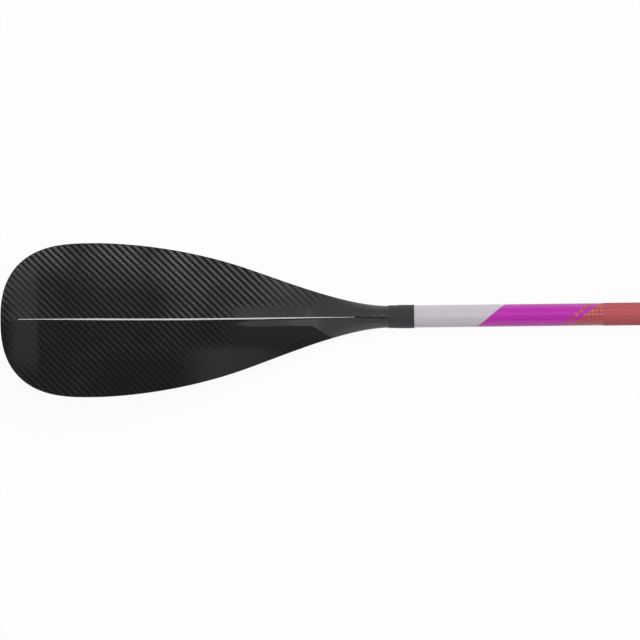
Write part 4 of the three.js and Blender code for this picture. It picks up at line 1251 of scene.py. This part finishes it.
class PADDLE_OT_clamp(bpy.types.Operator):
    """The clamp's collar, liner, bolt, washers and nut, and its lever"""

    bl_idname = "paddle.clamp"
    bl_label = "Clamp"

    def execute(self, context):
        handle = context.scene.paddle_handle
        # Glass-filled nylon: near-black, satin, with the faint mottle of its fibres
        nylon = moulded("glass_filled_nylon", list(handle.nylon), 0.44, grit=0.5 * MM)
        # Acetal: milky white and waxy
        acetal = moulded("white_acetal", linear_rgb("#D9DADC"), 0.42)
        # Blackened steel: dark with a dull metal gleam
        blackened = turned_metal("blackened_steel", "#3A3B3F", 0.38)
        # Stainless steel: bright, with lathe lines
        steel = turned_metal("stainless_steel", "#B4B6B9", 0.3)
        for name, node, material, slot, bevel in (
            ("collar", "clamp_collar", nylon, "black_nylon", 0.45 * MM),
            ("liner", "clamp_liner", acetal, "pale_acetal", 0.15 * MM),
            ("bolt", "clamp_bolt", blackened, "black_steel", 0.25 * MM),
            ("bolt_disc", "bolt_washer", steel, "steel", 0.12 * MM),
            ("cam_disc", "cam_washer", acetal, "pale_acetal", 0.2 * MM),
            ("barrel_nut", "lever_barrel_nut", steel, "steel", 0.25 * MM),
        ):
            dressed(name, node, BLADE_BODY, material, bevel)
        dressed("lever", "clamp_lever", LEVER_BODY, nylon, 0.5 * MM)
        low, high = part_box("clamp_lever")
        ribs = grow(speck("finger_ribs"), finger_ribs_tree(), {
            "Count": 6, "Radius": -low[1] - 0.12 * MM, "Start Angle": math.radians(186),
            "Sweep": math.radians(22), "Half Length": (high[0] - low[0]) / 2 - 2.2 * MM, "Bar": 0.55 * MM,
            "Middle": ((low[0] + high[0]) / 2, 0.0, AXIS_Z), "Material": nylon,
        })
        finish_mesh(facing_out(ribs), LEVER_BODY, nylon)
        return {"FINISHED"}


class PADDLE_OT_handle(bpy.types.Operator):
    """The telescoping tube with its length marks, and the palm grip"""

    bl_idname = "paddle.handle"
    bl_label = "Handle"

    def execute(self, context):
        handle, blade = context.scene.paddle_handle, context.scene.paddle_blade
        radius = self.tube(handle, blade)
        # Pad-printed ink: flat off-white
        ink = moulded("white_ink", list(handle.print_ink), 0.5, depth=0.004 * MM)
        hoops = hoops_tree()
        self.marks(handle, radius, hoops, ink)
        self.numbers(handle, radius, ink)
        self.grip(handle, hoops)
        return {"FINISHED"}

    def tube(self, handle, blade):
        """The tube with a keyway along its underside, which stops short of its upper end. Returns its
        radius."""
        start, end, radius = from_tip("handle_tube")
        bore = radius - TUBE_WALL
        keyway_end = end - KEYWAY_SHORT
        edge = math.asin(KEYWAY_HALF / radius)

        def ring(along, grooved, inner=False):
            reach = bore if inner else radius
            points = []
            for k in range(TUBE_STEPS + 1):
                angle = lerp(edge - math.pi, math.pi - edge, k / TUBE_STEPS)
                points.append((TIP_X + along, reach * math.sin(angle), AXIS_Z + reach * math.cos(angle)))
            for y in (KEYWAY_HALF, 0.0, -KEYWAY_HALF):
                floor = radius - KEYWAY_DEPTH if grooved else math.sqrt(radius**2 - y * y)
                low = math.sqrt(bore**2 - y * y) if inner else floor
                points.append((TIP_X + along, y, AXIS_Z - low))
            return points

        rings = [ring(start, True), ring(keyway_end, True), ring(keyway_end, False), ring(end, False),
                 ring(end, False, True), ring(start, False, True)]
        tube = sweep("telescoping_tube", rings, closed_path=True)
        finish_mesh(tube, HANDLE_BODY, carbon_tube(handle, blade), ("handle_tube",))
        return radius

    def marks(self, handle, radius, hoops, ink):
        """Marks that read the paddle's length at the collar's rim."""
        first = COLLAR_RIM_X - (handle.last_mark - handle.rest_mark) * CM
        count = handle.last_mark - handle.first_mark + 1
        proud = 0.06 * MM
        for name, step, number, long in (
            ("centimetre_marks", 1, count, 5 * MM), ("long_marks", 5, (count - 1) // 5 + 1, 9 * MM),
        ):
            row = grow(speck(name), hoops, {
                "Count": number, "Step": step * CM, "Radius": radius, "Sweep": long / radius,
                "Turn": 0.0, "Width": 0.5 * MM, "Height": 2 * proud, "Start": (first, 0.0, AXIS_Z),
                "Material": ink,
            })
            finish_mesh(facing_out(row), HANDLE_BODY, ink)

    def numbers(self, handle, radius, ink):
        """The lengths at the long marks: drawn flat, wrapped round the tube and thickened."""
        joined = bmesh.new()
        for mark in range(handle.first_mark, handle.last_mark + 1, 5):
            text = bpy.data.curves.new("digits", "FONT")
            text.body, text.size = str(mark), DIGIT_HEIGHT
            text.align_x, text.align_y = "CENTER", "BOTTOM"
            flat = baked(link_object("digits", text))
            place = COLLAR_RIM_X - (mark - handle.rest_mark) * CM + DIGIT_GAP
            with editing(flat.data) as work:
                bmesh.ops.triangulate(work, faces=work.faces)
                bmesh.ops.subdivide_edges(work, edges=work.edges, cuts=2, use_grid_fill=False)
                work.transform(Matrix.Rotation(-math.pi / 2, 4, "Z"))
                work.transform(Matrix.Translation((place, 0, 0)))
            joined.from_mesh(flat.data)
            bpy.data.objects.remove(flat, do_unlink=True)
        reach = radius + INK_LIFT
        for vert in joined.verts:
            angle = vert.co.y / radius
            vert.co = (vert.co.x, reach * math.sin(angle), AXIS_Z + reach * math.cos(angle))
        bmesh.ops.remove_doubles(joined, verts=joined.verts, dist=SAME_POINT)
        mesh = bpy.data.meshes.new("length_numbers")
        joined.to_mesh(mesh)
        joined.free()
        obj = link_object("length_numbers", mesh)
        thick = obj.modifiers.new("thick", "SOLIDIFY")
        thick.thickness, thick.offset = INK_THICK, 0.0
        finish_mesh(baked(obj), HANDLE_BODY, ink)

    def grip(self, handle, hoops):
        """Both halves of the palm grip, and the ribs on its stem."""
        # Soft-touch elastomer over a hard shell: charcoal, matt and slightly dusty
        rubbery = moulded("soft_touch_grip", list(handle.grip), 0.6, grit=0.7 * MM, depth=0.06 * MM)
        low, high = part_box("grip_back_shell")
        wide = (high[1] - low[1]) / 2
        for name, node, side in (("grip_back", "grip_back_shell", 1), ("grip_palm", "grip_palm_shell", -1)):
            shell = slab(name, grip_grid(side, 0.0, wide), grip_grid(side, GRIP_WALL, wide))
            finish_mesh(shell, HANDLE_BODY, rubbery, (node,))
            ribs = grow(speck(name + "_ribs"), hoops, {
                "Count": 4, "Step": 2.6 * MM, "Radius": STEM_RADIUS, "Sweep": math.radians(156),
                "Turn": 0.0 if side > 0 else math.pi, "Width": 1.1 * MM, "Height": 1.0 * MM,
                "Start": (GRIP_X + 3.2 * MM, 0.0, AXIS_Z), "Material": rubbery,
            })
            finish_mesh(facing_out(ribs), HANDLE_BODY, rubbery)


class PADDLE_OT_inner(bpy.types.Operator):
    """Finishes of the pieces inside: ferrule, bung, plug, ring and insert"""

    bl_idname = "paddle.inner"
    bl_label = "Inner pieces"

    def execute(self, context):
        # Closed-cell foam: chalky cream with fine pits
        foam = moulded("bung_foam", linear_rgb("#D9D2C0"), 0.9, 0.8 * MM, 0.1 * MM, IOR=1.45)
        # Acetal: milky white and waxy
        acetal = moulded("white_acetal_plug", linear_rgb("#D9DADC"), 0.42)
        # Nitrile rubber: flat black
        rubber = moulded("nitrile_rubber", linear_rgb("#161617"), 0.8)
        # Moulded nylon: near-black and satin
        nylon = moulded("nylon_insert", linear_rgb("#1F1F21"), 0.55)
        # Turned aluminium: pale grey, with lathe lines
        alloy = turned_metal("turned_alloy", "#BCC0C4", 0.32)
        for node, material in (
            ("shaft_foam_bung", foam), ("neck_ferrule", alloy),
            ("handle_tube_plug", acetal), ("plug_o_ring", rubber), ("grip_insert", nylon),
        ):
            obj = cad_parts[node]
            obj.data.materials.clear()
            obj.data.materials.append(material)
        return {"FINISHED"}


class PADDLE_OT_studio(bpy.types.Operator):
    """A pale floor, soft lamps, a white background and a camera that looks straight down"""

    bl_idname = "paddle.studio"
    bl_label = "Studio"

    def execute(self, context):
        studio = context.scene.paddle_studio
        self.floor(studio)
        self.background(context)
        self.lamps()
        self.camera(context, studio)
        context.scene.view_settings.view_transform = "Standard"
        return {"FINISHED"}

    def lamps(self):
        """Soft lamps, each with its place, where along the shaft it aims, its size, its power and
        whether gloss mirrors it."""
        for name, place, aim, size, power, mirrored in (
            ("overhead_softbox", (-0.4, 0.7, 2.4), -0.4, (1.8, 1.8), 44.0, False),
            ("upper_softbox", (-0.4, 2.2, 1.6), -0.4, (1.2, 1.2), 2.5, False),
            ("lower_softbox", (-0.4, -2.6, 1.5), -0.4, (1.2, 1.2), 1.5, True),
            ("near_strip", (1.1, -1.2, 0.9), 0.8, (1.2, 0.12), 1.2, True),
            ("far_strip", (1.1, 1.2, 1.1), 0.8, (1.2, 0.12), 1.2, True),
        ):
            lamp = bpy.data.lights.new(name, "AREA")
            lamp.energy, lamp.shape = power, "RECTANGLE"
            lamp.size, lamp.size_y = size
            obj = link_object(name, lamp)
            obj.location = place
            obj.rotation_euler = (Vector((aim, 0, 0)) - obj.location).to_track_quat("-Z", "Y").to_euler()
            obj.visible_camera, obj.visible_glossy = False, mirrored

    def camera(self, context, studio):
        """A camera so far up that it draws the blade almost without perspective."""
        lens = bpy.data.cameras.new("camera")
        lens.sensor_width = 36.0
        lens.lens = lens.sensor_width * studio.distance / studio.span
        lens.clip_end = studio.distance * 12
        camera = link_object("camera", lens)
        camera.location = (studio.aim_x, studio.aim_y, AXIS_Z + studio.distance)
        camera.rotation_euler = (0.0, 0.0, studio.roll)
        context.scene.camera = camera

    def floor(self, studio):
        """A floor that is nearly pure white where it is seen, and a dark card that only gloss reflects."""
        ground = self.sheet("floor", 40.0, (-40.0, 40.0), -0.3 * MM)
        made, tree, shader = new_material("pale_floor", {"Base Color": list(studio.floor), "Roughness": 0.9})
        glow = put(tree, "ShaderNodeEmission", {"Color": (1, 1, 1, 1), "Strength": 1.0})
        share = put(tree, "ShaderNodeMath", (self.seen(tree), 0.94), operation="MULTIPLY")
        mixed = put(tree, "ShaderNodeMixShader", (share, shader.outputs[0], glow))
        output = next(node for node in tree.nodes if node.type == "OUTPUT_MATERIAL")
        tree.links.new(mixed, output.inputs["Surface"])
        ground.data.materials.append(made)
        card = self.sheet("dark_card", 7.0, (-3.0, 6.0), 1.6)
        black, _, _ = new_material("black_card", {"Base Color": linear_rgb("#0A0A0A"), "Roughness": 1.0})
        card.data.materials.append(black)
        for ray in ("camera", "diffuse", "transmission", "volume_scatter", "shadow"):
            setattr(card, f"visible_{ray}", False)

    def sheet(self, name, half_long, across, up):
        """A level oblong: its half length, where its sides lie and its height."""
        low, high = across
        corners = [(-half_long, low), (half_long, low), (half_long, high), (-half_long, high)]
        return mesh_object(name, [(x, y, up) for x, y in corners], [(0, 1, 2, 3)])

    def background(self, context):
        """A world that is white where it is seen, and dimmer as light."""
        world = bpy.data.worlds.new("white_studio")
        world.use_nodes = True
        tree = world.node_tree
        tree.nodes.clear()
        dim, white = (
            put(tree, "ShaderNodeBackground", {"Color": (1, 1, 1, 1), "Strength": strength})
            for strength in (0.21, 1.0)
        )
        mixed = put(tree, "ShaderNodeMixShader", (self.seen(tree), dim, white))
        put(tree, "ShaderNodeOutputWorld", {"Surface": mixed}, output=None)
        context.scene.world = world

    def seen(self, tree):
        """1 where the camera sees a thing, by itself or in a mirror or through glass."""
        path = put(tree, "ShaderNodeLightPath", output=None).outputs
        rays = path["Is Camera Ray"], path["Is Glossy Ray"]
        either = put(tree, "ShaderNodeMath", rays, operation="MAXIMUM")
        return put(tree, "ShaderNodeMath", (either, path["Is Transmission Ray"]), operation="MAXIMUM")


class PADDLE_PT_panel(bpy.types.Panel):
    """Buttons that make the paddle's pieces"""

    bl_label = "Paddle"
    bl_idname = "PADDLE_PT_panel"
    bl_space_type = "VIEW_3D"
    bl_region_type = "UI"
    bl_category = "Paddle"

    def draw(self, context):
        for operator in STEPS:
            self.layout.operator(operator.bl_idname)
        for group in SETTINGS:
            box = self.layout.box()
            for name in SETTINGS[group].__annotations__:
                box.prop(getattr(context.scene, group), name)


STEPS = (
    PADDLE_OT_blade, PADDLE_OT_shaft, PADDLE_OT_clamp, PADDLE_OT_handle, PADDLE_OT_inner, PADDLE_OT_studio,
)
SETTINGS = {
    "paddle_blade": PaddleBladeSettings,
    "paddle_shaft": PaddleShaftSettings,
    "paddle_handle": PaddleHandleSettings,
    "paddle_studio": PaddleStudioSettings,
}


def register():
    for kind in (*SETTINGS.values(), *STEPS, PADDLE_PT_panel):
        bpy.utils.register_class(kind)
    for name, kind in SETTINGS.items():
        setattr(bpy.types.Scene, name, PointerProperty(type=kind))


def unregister():
    for name in SETTINGS:
        delattr(bpy.types.Scene, name)
    for kind in (PADDLE_PT_panel, *reversed(STEPS), *reversed(tuple(SETTINGS.values()))):
        bpy.utils.unregister_class(kind)


def main():
    register()
    bpy.ops.paddle.blade()
    bpy.ops.paddle.shaft()
    bpy.ops.paddle.clamp()
    bpy.ops.paddle.handle()
    bpy.ops.paddle.inner()
    bpy.ops.paddle.studio()


if __name__ == "__main__":
    main()
